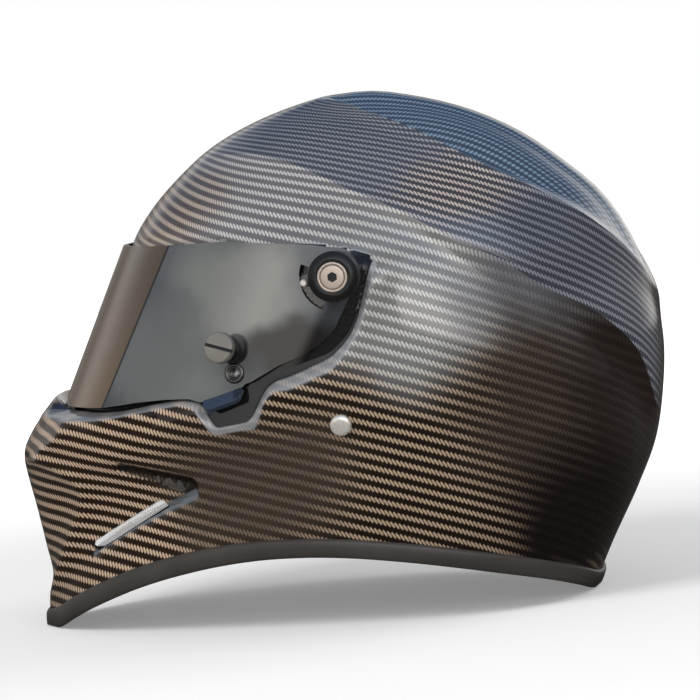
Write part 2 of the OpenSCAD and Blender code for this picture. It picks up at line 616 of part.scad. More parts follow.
// Plate that leans out of the visor's lower edge, with its root inside the sheet
module lift_tab()
    difference() {
        on_visor(tab_at[0], tab_at[1])
            translate([0, 0, -visor_thick / 2])
                rotate([0, 0, tab_turn])
                    rotate([0, -tab_lean, 0])
                        translate([-0.5, -tab_len / 2, -visor_thick / 2])
                            cube([tab_reach, tab_len, visor_thick]);
        rotate([-visor_lean, 0, 0])
            translate([0, tube_y, 0])
                cylinder(h = 400, r = visor_r - visor_thick / 2, $fn = 180);
    }
// Curved slot round the pivot for the detent pin
module detent_slot()
    at_pivot(pivot_x - 10)
        linear_extrude(20)
            polygon(concat(
                [for (a = [slot_end : 6 : slot_start]) turn_out(a, detent_r + detent_d / 2 + 0.3)],
                [for (a = [slot_start : -6 : slot_end]) turn_out(a, detent_r - detent_d / 2 - 0.3)]));
// A point at a distance from the pivot; turn 0 is straight ahead and positive turns are up
function turn_out(a, r) = [-r * sin(a), -r * cos(a)];

// Black cap over the pivot, with a chamfer and a stepped bore
cup_d = 15.3;
cap_x = pivot_x + (visor_r - pivot_x) + seat_gap;
module pivot_cap()
    at_pivot(cap_x)
        difference() {
            rotate_extrude($fn = 96)
                polygon([[0, 0], [cap_d / 2, 0], [cap_d / 2, cap_t - 2.2], [cap_d / 2 - 2.6, cap_t],
                    [0, cap_t]]);
            translate([0, 0, cap_t - 2.6]) cylinder(h = 4, d = cup_d + 0.2, $fn = 64);
            translate([0, 0, -1]) cylinder(h = 20, d = screw_d + 0.4, $fn = 48);
            translate([0, 0, -1])
                cylinder(h = bush_x + bush_t + seat_gap - cap_x + 1, d = bush_d + 0.4, $fn = 64);
        }
// Silver cup washer round the screw's head
module cup_washer()
    at_pivot(cap_x + cap_t - 2.6)
        rotate_extrude($fn = 72)
            polygon([[screw_d / 2 + 0.3, 0], [cup_d / 2, 0], [cup_d / 2, 2.2], [cup_d / 2 - 0.7, 3],
                [head_d / 2 + 0.25, 1.6], [head_d / 2 + 0.2, 0.7], [screw_d / 2 + 0.3, 0.7]]);
screw_in = 13;
// Flat-headed screw with a hexagon socket
module pivot_screw()
    at_pivot(cap_x + cap_t - 2.6 + 0.8)
        difference() {
            rotate_extrude($fn = 72)
                polygon([[0, -cap_t - screw_in], [screw_d / 2, -cap_t - screw_in], [screw_d / 2, 0],
                    [head_d / 2, 0], [head_d / 2, 1.6], [head_d / 2 - 0.6, 2.2], [0, 2.2]]);
            translate([0, 0, 0.4]) cylinder(h = 4, d = socket_af / cos(30), $fn = 6);
        }
// Fixed bush that the visor turns on
plate_t = 0.65;
bush_t = visor_thick + 0.8;
bush_x = recess_x + plate_t + 0.6;
module pivot_bush()
    at_pivot(bush_x)
        difference() {
            cylinder(h = bush_t, d = bush_d, $fn = 64);
            translate([0, 0, -1]) cylinder(h = 20, d = screw_d + 0.4, $fn = 48);
        }
// Thin curved plate on the shell under the visor, which carries the detent pin
plate_hub = 9.8;
module detent_plate()
    difference() {
        intersection() {
            visor_tube(recess_r + plate_t + 0.1, recess_r + 0.1);
            at_pivot(recess_x - 20)
                linear_extrude(40)
                    union() {
                        circle(r = plate_hub, $fn = 64);
                        hull() {
                            circle(r = 5, $fn = 32);
                            translate(turn_out(pin_turn, detent_r)) circle(r = 3.6, $fn = 32);
                        }
                        for (k = [0 : 4])
                            translate(turn_out(-22 - 9 * k, detent_r)) circle(r = 1.6, $fn = 16);
                        hull() {
                            translate(turn_out(-62, detent_r - 3)) circle(r = 3, $fn = 24);
                            translate(turn_out(-20, detent_r - 4)) circle(r = 3, $fn = 24);
                        }
                    }
        }
        at_pivot(recess_x - 10) cylinder(h = 20, d = screw_d + 0.4, $fn = 48);
        at_pivot(recess_x - 10)
            translate(turn_out(pin_turn, detent_r)) cylinder(h = 20, d = detent_d + 0.2, $fn = 32);
    }
// Dowel pin in the detent plate, which runs in the visor's slot
module detent_pin()
    at_pivot(recess_x + 0.2)
        translate(turn_out(pin_turn, detent_r))
            rotate_extrude($fn = 32)
                polygon([[0, 0], [detent_d / 2, 0], [detent_d / 2, visor_r - recess_r - 0.2],
                    [detent_d / 2 - 0.5, visor_r - recess_r + 0.3], [0, visor_r - recess_r + 0.3]]);
// Nut behind the shell, in a flat seat cut in the laminate's inner face
seat_d = 15.4;
seat_depth = 14;
nut_x = recess_x - shell_wall - seat_gap;
nut_t = 5;
module pivot_nut()
    at_pivot(nut_x - nut_t)
        difference() {
            cylinder(h = nut_t, d = 14, $fn = 6);
            translate([0, 0, -1]) cylinder(h = 20, d = screw_d + 0.2, $fn = 48);
        }

// Slotted grip screw on its sleeve, with a flush ring on the inside of the visor
knob_shank = 5;
nut_d = 8.6;
nut_sink = 1;
knob_head = 4;
module knob_screw()
    color([0.72, 0.72, 0.7])
        on_visor(knob_at[0], knob_at[1])
            difference() {
                rotate_extrude($fn = 72)
                    polygon([[0, -visor_thick + 0.05], [knob_shank / 2, -visor_thick + 0.05],
                        [knob_shank / 2, knob_stand], [knob_d / 2 - 0.6, knob_stand],
                        [knob_d / 2, knob_stand + 0.6], [knob_d / 2, knob_stand + knob_head - 0.8],
                        [knob_d / 2 - 0.8, knob_stand + knob_head], [0, knob_stand + knob_head]]);
                translate([0, 0, knob_stand + knob_head])
                    rotate([0, 0, 62]) cube([knob_d + 2, 1.8, 2.6], center = true);
            }
module knob_sleeve()
    color([0.07, 0.07, 0.07])
        on_visor(knob_at[0], knob_at[1])
            rotate_extrude($fn = 72)
                polygon([[knob_shank / 2 + 0.2, 0.2], [knob_d / 2 - 2.5, 0.2], [knob_d / 2 - 1, 1.4],
                    [knob_d / 2 - 1, knob_stand - 0.1], [knob_shank / 2 + 0.2, knob_stand - 0.1]]);
module knob_nut()
    color([0.6, 0.6, 0.6])
        on_visor(knob_at[0], knob_at[1])
            translate([0, 0, -visor_thick + 0.05])
                difference() {
                    cylinder(h = nut_sink - 0.1, d = nut_d, $fn = 48);
                    translate([0, 0, -1]) cylinder(h = 5, d = knob_shank + 0.1, $fn = 32);
                }
// Rolled metal eyelet in the visor
module lock_eyelet()
    color([0.7, 0.7, 0.7])
        on_visor(eyelet_at[0], eyelet_at[1])
            rotate_extrude($fn = 64)
                polygon([[eyelet_bore / 2, -visor_thick + 0.1], [eyelet_d / 2 - 1.4, -visor_thick + 0.1],
                    [eyelet_d / 2 - 1.4, 0.2], [eyelet_d / 2, 0.2], [eyelet_d / 2, 0.7],
                    [eyelet_d / 2 - 0.6, 1.2], [eyelet_d / 2 - 1.7, 1.2], [eyelet_d / 2 - 2, 0.7],
                    [eyelet_bore / 2 + 0.7, 0.7], [eyelet_bore / 2 + 0.4, 1.1], [eyelet_bore / 2, 0.8]]);

// Stud in the shell, seen through the eyelet
post_d = 3;
post_base = visor_r - recess_r;
module lock_post()
    color([0.7, 0.7, 0.7])
        on_visor(eyelet_at[0], eyelet_at[1])
            rotate_extrude($fn = 40)
                polygon([[0, -post_base - 9], [post_d / 2, -post_base - 9], [post_d / 2, -post_base + 0.2],
                    [post_d, -post_base + 0.2], [post_d, -visor_thick - 0.8],
                    [post_d - 0.4, -visor_thick - 0.4], [0, -visor_thick - 0.4]]);
module lock_post_nut()
    color([0.6, 0.6, 0.6])
        on_visor(eyelet_at[0], eyelet_at[1])
            translate([0, 0, -post_base - 8])
                difference() {
                    cylinder(h = 2.4, d = 6.4, $fn = 6);
                    translate([0, 0, -1]) cylinder(h = 5, d = post_d + 0.1, $fn = 32);
                }

// Wire mesh plate behind the chin slot
mesh_t = 0.8;
mesh_over = 6;
module chin_vent_mesh()
    color([0.75, 0.75, 0.75])
        intersection() {
            vent_slot(vent_w, 60, mesh_over);
            pad(0, 7, 1, 12, soft_gap, mesh_t, mesh_t);
        }
// A closed slab between two faces given as rows of points, whose cells are split as in the guide
module slab(outer, inner, guide) {
    m = len(outer);
    n = len(outer[0]);
    s = m * n;
    g = [for (r = guide) each r];
    points = concat([for (r = outer) each r], [for (r = inner) each r]);
    polyhedron(points, concat(
        [for (i = [0 : m - 2], j = [0 : n - 2]) let (a = i * n + j, b = a + 1, c = a + n, d = c + 1)
            each concat(cell(g, a, b, c, d), cell_back(g, a, b, c, d, s))],
        [for (j = [0 : n - 2]) let (t = (m - 1) * n + j)
            each [[j, j + 1, s + j], [j + 1, s + j + 1, s + j],
                [t + 1, t, s + t], [t + 1, s + t, s + t + 1]]],
        [for (i = [0 : m - 2]) let (a = i * n, b = a + n, c = a + n - 1, d = c + n)
            each [[b, a, s + a], [b, s + a, s + b], [c, d, s + d], [c, s + d, s + c]]]), convexity = 10);
}

// Domed strap rivet with its shank, and its washer inside
module strap_rivet()
    color([0.8, 0.8, 0.8])
        at_rivet()
            rotate_extrude($fn = 64)
                polygon([[0, -rivet_in], [rivet_shank / 2, -rivet_in], [rivet_shank / 2, 0.6],
                    [rivet_d / 2, 0.6], [rivet_d / 2, 1.6], [rivet_d / 2 - 0.5, 2.3],
                    [rivet_d / 2 - 1.3, 2.8], [0, 3]]);
rivet_in = 17.6;
module rivet_washer()
    color([0.6, 0.6, 0.6])
        at_rivet()
            translate([0, 0, -rivet_in + 0.4])
                difference() {
                    cylinder(h = 1.2, d = rivet_d + 1, $fn = 48);
                    translate([0, 0, -1]) cylinder(h = 4, d = rivet_shank + 0.1, $fn = 32);
                }

// Anchor plates that swivel on the rivets and carry the strap
anchor_in = 13.5;
anchor_x = rivet_spot[0] - anchor_in * cos(rivet_tilt);
anchor_t = 1.5;
swing_z = rivet_spot[2] + anchor_in * sin(rivet_tilt);
bar_drop = 23;
bar_z = swing_z - bar_drop;
bar_h = 3;
fold_r = anchor_t / 2 + strap_t / 2 + 0.4;
module strap_anchor()
    color([0.65, 0.65, 0.65])
        translate([anchor_x - anchor_t / 2, rivet_at[0], 0])
            rotate([90, 0, 90])
                difference() {
                    linear_extrude(anchor_t)
                        difference() {
                            union() {
                                translate([0, swing_z]) circle(d = 15, $fn = 48);
                                hull() {
                                    translate([0, swing_z - 6]) square([12, 2], center = true);
                                    translate([0, bar_z + 7]) square([strap_w + 6, 2], center = true);
                                }
                                translate([-strap_w / 2 - 3, bar_z - bar_h])
                                    square([strap_w + 6, bar_h + 8]);
                            }
                            translate([-strap_w / 2 - 0.6, bar_z]) square([strap_w + 1.2, 4.6]);
                        }
                    translate([0, swing_z, -1]) cylinder(h = 4, d = rivet_shank + 1, $fn = 32);
                }

// The strap hangs as a loop between the plates; across is x and up is z
loop_x = anchor_x - fold_r;
loop_low = bar_z - 34;
function loop_z(x) = bar_z - 1 - (bar_z - 1 - loop_low) * sqrt(1 - pow(min(1, abs(x) / loop_x), 4));
function arc(c, r, a0, a1, n) =
    [for (i = [0 : n]) let (a = mix(a0, a1, i / n)) c + r * [cos(a), sin(a)]];
// An even band along a path
function band(path, t) =
    let (n = len(path), nrm = [for (i = [0 : n - 1])
        let (v = path[min(n - 1, i + 1)] - path[max(0, i - 1)]) [-v[1], v[0]] / norm(v)])
    concat([for (i = [0 : n - 1]) path[i] + nrm[i] * t / 2],
        [for (i = [n - 1 : -1 : 0]) path[i] - nrm[i] * t / 2]);
module webbing(path)
    color([0.08, 0.08, 0.09])
        translate([0, rivet_at[0] + strap_w / 2, 0])
            rotate([90, 0, 0])
                linear_extrude(strap_w)
                    polygon(band(path, strap_t));
// From the folded end over an anchor bar, down and along the loop to x1
function hang_path(x1) =
    concat([[anchor_x + fold_r, bar_z - 5]],
        arc([anchor_x, bar_z - 0.6], fold_r, 0, 180, 8),
        [for (u = [1 : -0.04 : 0]) let (x = mix(x1, loop_x, sin(90 * u))) [x, loop_z(x)]]);
ring_gap = 0.3;
ring_x0 = 28;
ring_x1 = 50;
ring_mid = loop_low + ring_wire + strap_t / 2 + ring_gap * 2;
turn_r = ring_mid - loop_low;
module strap_left()
    webbing(concat(hang_path(ring_x1 + 6), arc([ring_x1, ring_mid], turn_r, -90, -270, 10),
        [[ring_x1 + 17, ring_mid + turn_r]]));
module strap_right()
    webbing(concat([for (p = hang_path(-ring_x0 + 6)) [-p[0], p[1]]],
        arc([ring_x0, ring_mid], turn_r, -90, 90, 10),
        [[ring_x0 - 20, ring_mid + turn_r + 0.4], [-18, ring_mid + turn_r + 1.5]]));
// Two wire rings that join the straps
module d_rings() {
    half = strap_w / 2 + 4;
    corner = 5;
    color([0.75, 0.75, 0.75])
        for (z = [-1, 1])
            translate([0, rivet_at[0], ring_mid + z * (ring_wire + ring_gap) / 2]) {
                for (y = [-half, half])
                    translate([ring_x0 + corner, y, 0])
                        rotate([0, 90, 0])
                            cylinder(h = ring_x1 - ring_x0 - 2 * corner, d = ring_wire, $fn = 32);
                for (x = [ring_x0, ring_x1])
                    translate([x, half - corner, 0])
                        rotate([90, 0, 0])
                            cylinder(h = 2 * (half - corner), d = ring_wire, $fn = 32);
                for (c = [[ring_x0 + corner, half - corner, 90], [ring_x0 + corner, corner - half, 180],
                        [ring_x1 - corner, corner - half, 270], [ring_x1 - corner, half - corner, 0]])
                    translate([c[0], c[1], 0])
                        rotate([0, 0, c[2]])
                            rotate_extrude(angle = 90, $fn = 48)
                                translate([corner, 0]) circle(d = ring_wire, $fn = 32);
            }
}

// Distance of the head space's wall, grown by off
head_half_l = 98;
head_up = 108;
function head_r(phi, th, off) =
    let (s = sin(phi) / (head_half_w + off), c = cos(phi) / (head_half_l + off),
         plan = s * s + c * c)
    th < 0 ? 1 / (cos(th) * sqrt(plan)) :
        1 / sqrt(pow(cos(th), 2) * plan + pow(sin(th) / (head_up + off), 2));

// Crushable foam liner, open at the face and the ears. Its rows are rows of the shell.
liner_rows = [4, 6, 7, 12, 15, 17, 19, 21, 23, 25, 28, 31, 33, 35];
liner_brow = 6;
liner_step = 2;
liner_gap = 0.4;
liner_min = 5;
ear_end = 104;
// Each point keeps inside all the shell's inner points as far as its own neighbours.
function liner_face() =
    let (inner = inner_rows(shell_rows()), n = len(columns), last = len(liner_rows) - 1)
    [for (k = [0 : last])
        let (i = liner_rows[k], i0 = liner_rows[max(0, k - 1)], i1 = liner_rows[min(last, k + 1)])
        [for (j = [0 : liner_step : n - 1])
            [inner[i][j][0], inner[i][j][1],
                min([for (a = [i0 : i1], b = [-liner_step : liner_step]) inner[a][ring_at(j + b, n)][2]])
                    - liner_gap]]];
function liner_back(face, off) =
    [for (r = face) [for (v = r)
        [v[0], v[1], min(v[2] - liner_min, head_r(v[0], v[1], crown_pad_t + off))]]];
module eps_liner() {
    face = liner_face();
    open = ceil(len([for (c = half_cols) if (c < ear_end) c]) / liner_step);
    top = shell_r(180, 90) - shell_wall - liner_gap;
    color([0.2, 0.2, 0.21])
        dome(spots(face), spots(liner_back(face, soft_gap)), spot(0, 90, top),
            spot(0, 90, head_r(0, 90, crown_pad_t + soft_gap)), [0, liner_brow, open]);
}
// Comfort pad inside the liner, from the line above the visor to the crown
soft_gap = 0.35;
module crown_pad() {
    grid = liner_face();
    rows = [for (i = [liner_brow : len(grid) - 1]) grid[i]];
    face = liner_back(rows, 0);
    back = [for (i = [0 : len(face) - 1]) [for (v = face[i])
        [v[0], v[1], v[2] - crown_pad_t * (i == 0 ? 0.55 : 1)]]];
    color([0.1, 0.1, 0.11])
        dome(spots(face), spots(back), spot(0, 90, head_r(0, 90, crown_pad_t)),
            spot(0, 90, head_r(0, 90, 0)));
}

// A point moved towards the middle of the head
function inward(p, d) =
    let (v = p - [0, mid_y, mid_z]) p - v * d / norm(v);
// A pad on the inside of the shell, on the points of the shell's rows i0 to i1 and columns j0 to j1.
// It is edge thick along its sides and depth thick in its middle.
module pad(i0, i1, j0, j1, gap, edge, depth) {
    rows = shell_rows();
    grid = spots(inner_rows(rows));
    n = len(columns);
    function thick(u, v) = edge + (depth - edge) * pow(max(0, sin(180 * u) * sin(180 * v)), 0.4);
    function part(rows) = [for (i = [i0 : i1]) [for (j = [j0 : j1]) rows[i][ring_at(j, n)]]];
    face = [for (r = part(grid)) [for (v = r) inward(v, gap)]];
    slab(face, [for (k = [0 : i1 - i0]) [for (l = [0 : j1 - j0])
        inward(face[k][l], thick(k / (i1 - i0), l / (j1 - j0)))]], spots(part(rows)));
}
cheek_depth = 34;
pad_gap = 0.5;
roll_start = 112;
module cheek_pad(left)
    color([0.1, 0.1, 0.11])
        pad(2, 6, left ? 11 : -18, left ? 18 : -11, pad_gap, 8, cheek_depth);
// Foam in the chin bar, with a channel through it behind each vent
module chin_foam()
    color([0.2, 0.2, 0.21])
        difference() {
            pad(1, 6, -10, 10, pad_gap, 6, chin_foam_t);
            for (left = [true, false]) on_side(left) vent_slot(vent_w, 90, mesh_over + 2);
        }
module neck_roll() {
    first = len([for (c = half_cols) if (c < roll_start) c]);
    color([0.1, 0.1, 0.11]) pad(1, 3, first, len(columns) - first, pad_gap, 5, 22);
}

outer_shell();
edge_trim();
eyeport_gasket();
visor_lens();
knob_screw();
knob_sleeve();
knob_nut();
lock_eyelet();
color([0.06, 0.06, 0.06]) on_side(true) pivot_cap();  // pivot_cap_left
color([0.06, 0.06, 0.06]) on_side(false) pivot_cap();  // pivot_cap_right
color([0.75, 0.75, 0.74]) on_side(true) cup_washer();  // cup_washer_left
color([0.75, 0.75, 0.74]) on_side(false) cup_washer();  // cup_washer_right
color([0.8, 0.8, 0.78]) on_side(true) pivot_screw();  // pivot_screw_left
color([0.8, 0.8, 0.78]) on_side(false) pivot_screw();  // pivot_screw_right
color([0.85, 0.84, 0.8]) on_side(true) pivot_bush();  // pivot_bush_left
color([0.85, 0.84, 0.8]) on_side(false) pivot_bush();  // pivot_bush_right
color([0.5, 0.5, 0.5]) on_side(true) detent_plate();  // detent_plate_left
color([0.5, 0.5, 0.5]) on_side(false) detent_plate();  // detent_plate_right
color([0.8, 0.8, 0.8]) on_side(true) detent_pin();  // detent_pin_left
color([0.8, 0.8, 0.8]) on_side(false) detent_pin();  // detent_pin_right
color([0.6, 0.6, 0.6]) on_side(true) pivot_nut();  // pivot_nut_left
color([0.6, 0.6, 0.6]) on_side(false) pivot_nut();  // pivot_nut_right
lock_post();
lock_post_nut();
on_side(true) chin_vent_mesh();  // chin_vent_mesh_left
on_side(false) chin_vent_mesh();  // chin_vent_mesh_right
on_side(true) strap_rivet();  // strap_rivet_left
on_side(false) strap_rivet();  // strap_rivet_right
on_side(true) rivet_washer();  // rivet_washer_left
on_side(false) rivet_washer();  // rivet_washer_right
strap_left();
strap_right();
d_rings();
eps_liner();
crown_pad();
chin_foam();
neck_roll();
on_side(true) strap_anchor();  // strap_anchor_left
on_side(false) strap_anchor();  // strap_anchor_right
cheek_pad(true);  // cheek_pad_left
cheek_pad(false);  // cheek_pad_right
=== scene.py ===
"""Looks of a full-face racing helmet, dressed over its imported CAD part.

Shapes are worked out in millimetres with the same functions as the part's source, and MM turns
them into metres. The wearer looks along -Y and +X is the wearer's left.
"""
import math

import bmesh
import bpy
import numpy as np
from mathutils import Matrix, Vector

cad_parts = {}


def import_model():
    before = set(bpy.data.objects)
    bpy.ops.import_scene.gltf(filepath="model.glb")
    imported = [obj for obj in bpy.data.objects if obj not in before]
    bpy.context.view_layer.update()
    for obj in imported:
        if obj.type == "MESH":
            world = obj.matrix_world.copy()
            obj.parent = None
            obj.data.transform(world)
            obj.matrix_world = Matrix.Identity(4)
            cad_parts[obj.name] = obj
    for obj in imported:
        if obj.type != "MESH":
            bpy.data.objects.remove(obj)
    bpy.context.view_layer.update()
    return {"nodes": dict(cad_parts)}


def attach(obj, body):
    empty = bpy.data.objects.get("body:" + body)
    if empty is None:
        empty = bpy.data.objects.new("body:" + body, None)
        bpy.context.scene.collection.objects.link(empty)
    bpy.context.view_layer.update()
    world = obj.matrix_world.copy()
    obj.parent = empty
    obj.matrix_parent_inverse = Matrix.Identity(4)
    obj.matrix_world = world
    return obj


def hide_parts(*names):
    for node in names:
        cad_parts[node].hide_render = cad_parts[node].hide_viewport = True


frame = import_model()
MM = 0.001

# The shell's form
MID_Y, MID_Z = 10.0, 110.0
MIDDLE = np.array([0, MID_Y, MID_Z])
WALL = 3.0
CREST_H = 2.4
LIP_IN = 0.5
LIP_TIP_UP = 4.6
LEDGE_DEPTH = 7.0
DEG_MM = 2.6
FRONT = [
    [-165, -8], [-165.3, 10], [-164.4, 22], [-167.4, 45], [-170.6, 66], [-173, 82], [-173.4, 90.5],
    [-172.2, 96.5], [-167.9, 104], [-160.6, 113.5], [-157.5, 117.5], [-145, 120.5], [-129, 130],
    [-119, 150], [-109, 180], [-101.8, 204], [-91.8, 218.4], [-77.2, 233.2], [-57.7, 247.8],
    [-34.5, 258.8], [-15, 265], [10, 269.8]]
REAR = [
    [122, -8], [127, 2], [136, 20], [153, 51], [164, 75], [169.5, 99], [172, 131], [168, 156],
    [160, 181], [146, 206], [128, 224], [104, 243], [77.5, 257], [50, 266], [30, 270], [10, 269.8]]
SIDE = [
    [89, -8], [97, 10], [104, 40], [112, 70], [118, 100], [123, 125], [124.5, 150], [122.5, 180],
    [113, 205], [97.5, 225], [76, 243], [53, 256], [30.5, 265], [12, 269], [0, 269.8]]
FRONT_SQUARE = [[-40, 1.9], [-9, 1.9], [0, 2.4], [8, 2.5], [30, 2.3], [42, 2.1], [90, 2]]
REAR_SQUARE = [[-40, 2.15], [50, 2.15], [78, 2], [90, 2]]
CREST = [
    [0, -20, 266], [25, 5, 266], [45, 26, 260], [63, 51, 248], [76, 81, 230], [73, 113, 211],
    [60, 137, 196], [42, 155, 179], [20, 167, 163], [0, 171, 152]]
LEDGE = [
    [0, -66, 242], [31, -58, 244], [64, -29, 243], [84, -4, 235], [100, 23, 222], [107, 48, 209],
    [109, 68, 196], [105, 92, 183], [96, 116, 166], [77, 142, 149], [52, 162, 125], [30, 168, 99],
    [0, 170, 84]]
LEDGE_SHARE = [
    [0, 0], [25, 0.12], [60, 0.25], [97, 0.5], [118, 0.7], [140, 1], [152, 1], [163, 0.7], [180, 0]]
BEAK_TAB = [[-9, 4], [-7.5, 8], [-5.7, 14.3], [-3.9, 19.7], [-2.2, 24.2], [0.4, 27], [2, 28]]
CHIN_CREASE = [
    [8, -164, 16], [23, -159, 27], [37, -152, 40], [47, -146, 51], [57, -138, 63], [62, -134, 71],
    [65, -133, 76], [65, -135, 83], [60, -141, 89], [48, -152, 96]]
LIP = [
    [0, -152, 116.5], [50, -136, 117.5], [84, -101, 118], [97, -78, 121.5], [124, -2, 136.6],
    [124.5, 11, 143], [124.5, 22.5, 157], [122, 30.5, 180], [118, 37, 194], [100, 60, 212]]
NOTCH = [
    [0, 0], [54, 0], [57.5, 2.5], [59, 6.5], [60.4, 15], [61.6, 19.5], [69.2, 19.5], [70.8, 14],
    [72.2, 7.5], [74, 2], [76, 0], [180, 0]]
LIP_WIDTH = [[0, 2.5], [14, 2.5], [26, 4], [60, 4.2], [73, 5], [79, 8.5], [89, 8.5], [95, 4], [180, 4]]
RIM = [
    [0, -0.8], [8, 0.5], [14, 6.5], [20, 13], [33, 25], [47, 33], [61, 37], [75, 37.5], [89, 35.5],
    [103, 31.5], [116, 26.5], [130, 20], [145, 12.5], [158, 5.5], [168, 0.8], [180, -0.8]]
LIP_REAR = [[92, 40], [97, 20], [110, 10], [125, -1], [140, -11], [180, -23]]
PORT_LOW = [
    [0, 3.9], [20, 4.4], [40, 7], [55, 10.5], [66, 13], [74, 15.5], [78, 18.5], [90, 20.5],
    [97, 25], [110, 17], [125, 5], [140, -5], [180, -18]]
PORT_UP = [
    [0, 32], [40, 32], [60, 31], [70, 29.5], [75, 27.5], [78, 25], [90, 29], [97, 31], [110, 25],
    [125, 12], [140, 2], [180, -14]]
TOP_LINE = [
    [0, 38], [50, 38], [74, 37], [90, 36], [97, 36], [110, 32], [118, 26], [128, 19], [138, 11],
    [150, 4], [161, -3], [180, -11]]
PORT_END = 78

VISOR_LEAN = math.radians(25.75)
VISOR_R = 126.0
VISOR_T = 2.5
VISOR_FRONT = (-148.6, 118.5)
PIVOT_Y, PIVOT_Z = 14.0, 180.0
RIVET_X, RIVET_Y, RIVET_Z = 124.5, 10.3, 104.9
VENT_L, VENT_W = 60.0, 5.0
VENT_MID = 31.2, -20.6
VENT_TURN, VENT_TILT = 54.3, 23.8


def lookup(x, tab):
    """Straight lines through the points of a table."""
    t = np.asarray(tab, float)
    return np.interp(x, t[:, 0], t[:, 1])


def curve(x, tab):
    """A smooth curve through the points of a table."""
    p = np.asarray(tab, float)
    h = np.diff(p[:, 0])
    d = np.diff(p[:, 1]) / h
    m = np.concatenate([[d[0]], (d[:-1] * h[1:] + d[1:] * h[:-1]) / (h[:-1] + h[1:]), [d[-1]]])
    x = np.clip(x, p[0, 0], p[-1, 0])
    i = np.clip(np.searchsorted(p[:, 0], x, side="right") - 1, 0, len(h) - 1)
    t = (x - p[i, 0]) / h[i]
    return (p[i, 1] * (1 + 2 * t) * (1 - t) ** 2 + m[i] * h[i] * t * (1 - t) ** 2
            + p[i + 1, 1] * t * t * (3 - 2 * t) + m[i + 1] * h[i] * t * t * (t - 1))


def ease(a, b, x):
    t = np.clip((x - a) / (b - a), 0, 1)
    return t * t * (3 - 2 * t)


def mix(a, b, t):
    return a + (b - a) * t


def polar(out, z):
    """Elevation and distance of a point, from the middle of the head."""
    return [math.degrees(math.atan2(z - MID_Z, out)), math.hypot(out, z - MID_Z)]


def bearing(p):
    """Plan angle and elevation of a point, seen from the middle of the head."""
    x, y, z = p[0], p[1] - MID_Y, p[2] - MID_Z
    return [math.degrees(math.atan2(x, -y)), math.degrees(math.atan2(z, math.hypot(x, y)))]


FRONT_TAB = [polar(MID_Y - y, z) for y, z in FRONT]
REAR_TAB = [polar(y - MID_Y, z) for y, z in REAR]
SIDE_TAB = [polar(x, z) for x, z in SIDE]
CREST_TAB = [bearing(p) for p in CREST]
LEDGE_TAB = [bearing(p) for p in LEDGE]
CREASE_TAB = sorted(bearing(p)[::-1] for p in CHIN_CREASE)
LIP_TAB = [bearing(p) for p in LIP] + [[180, 60]]


def lean_y(y, z):
    return y * math.cos(VISOR_LEAN) - z * math.sin(VISOR_LEAN)


TUBE_Y = lean_y(*VISOR_FRONT) + VISOR_R
RECESS_R = VISOR_R - VISOR_T - 1.7


def tube_hit(phi, th, r):
    """Distance to the visor's tube of radius r, in a direction given in degrees."""
    p, t = np.radians(phi), np.radians(th)
    dx, dy = np.sin(p) * np.cos(t), lean_y(-np.cos(p) * np.cos(t), np.sin(t))
    a = np.maximum(0.001, dx * dx + dy * dy)
    c0 = lean_y(MID_Y, MID_Z) - TUBE_Y
    b = c0 * dy
    return (-b + np.sqrt(np.maximum(0, b * b - a * (c0 * c0 - r * r)))) / a


def base_r(phi, th):
    p = np.radians(phi)
    c = np.cos(p)
    n = np.where(c > 0, curve(th, FRONT_SQUARE), curve(th, REAR_SQUARE))
    long = np.where(c > 0, curve(th, FRONT_TAB), curve(th, REAR_TAB))
    return ((np.abs(np.sin(p)) / curve(th, SIDE_TAB)) ** n + (np.abs(c) / long) ** n) ** (-1 / n)


def crease(d, w, round_off=3.0):
    return np.maximum(0, 1 - (np.sqrt(d * d + round_off ** 2) - round_off) / w) ** 2


def notch_dip(a):
    """The finger notch's depth, its corners rounded off."""
    return sum(lookup(a + s, NOTCH) for s in (-0.8, -0.4, 0, 0.4, 0.8)) / 5


def lip_th(a, left):
    return curve(a, LIP_TAB) - np.where(left, notch_dip(a) / DEG_MM, 0)


def lip_slant(a, left):
    rise = (lip_th(a + 1.5, left) - lip_th(a - 1.5, left)) / 3
    return np.sqrt(1 + rise * rise)


def inside_lip(a, th, left):
    return (th - lip_th(a, left)) * DEG_MM / lip_slant(a, left)


def lip_w(a):
    """Width of the sloping lip."""
    return lookup(a, LIP_WIDTH)


def dent(a, th, p, q, w0, w1):
    """A hollow along a line between two points on the shell, whose width grows from w0 to w1."""
    b0, b1 = np.array(bearing(p)), np.array(bearing(q))
    v = b1 - b0
    ua, ut = a - b0[0], th - b0[1]
    t = np.clip((ua * v[0] + ut * v[1]) / (v @ v), 0, 1)
    d = np.hypot(ua - v[0] * t, ut - v[1] * t) * DEG_MM
    return np.where((a > 60) | (th > 0), 0, 1 - ease(0, 1, d / mix(w0, w1, t)))


SCOOP = [87.9, -106.6, 88.7], [94.2, -71.8, 78.5], 5, 9
GROOVE = [54.2, -132.9, 42.1], [93.3, -69.9, 72.9], 2, 5


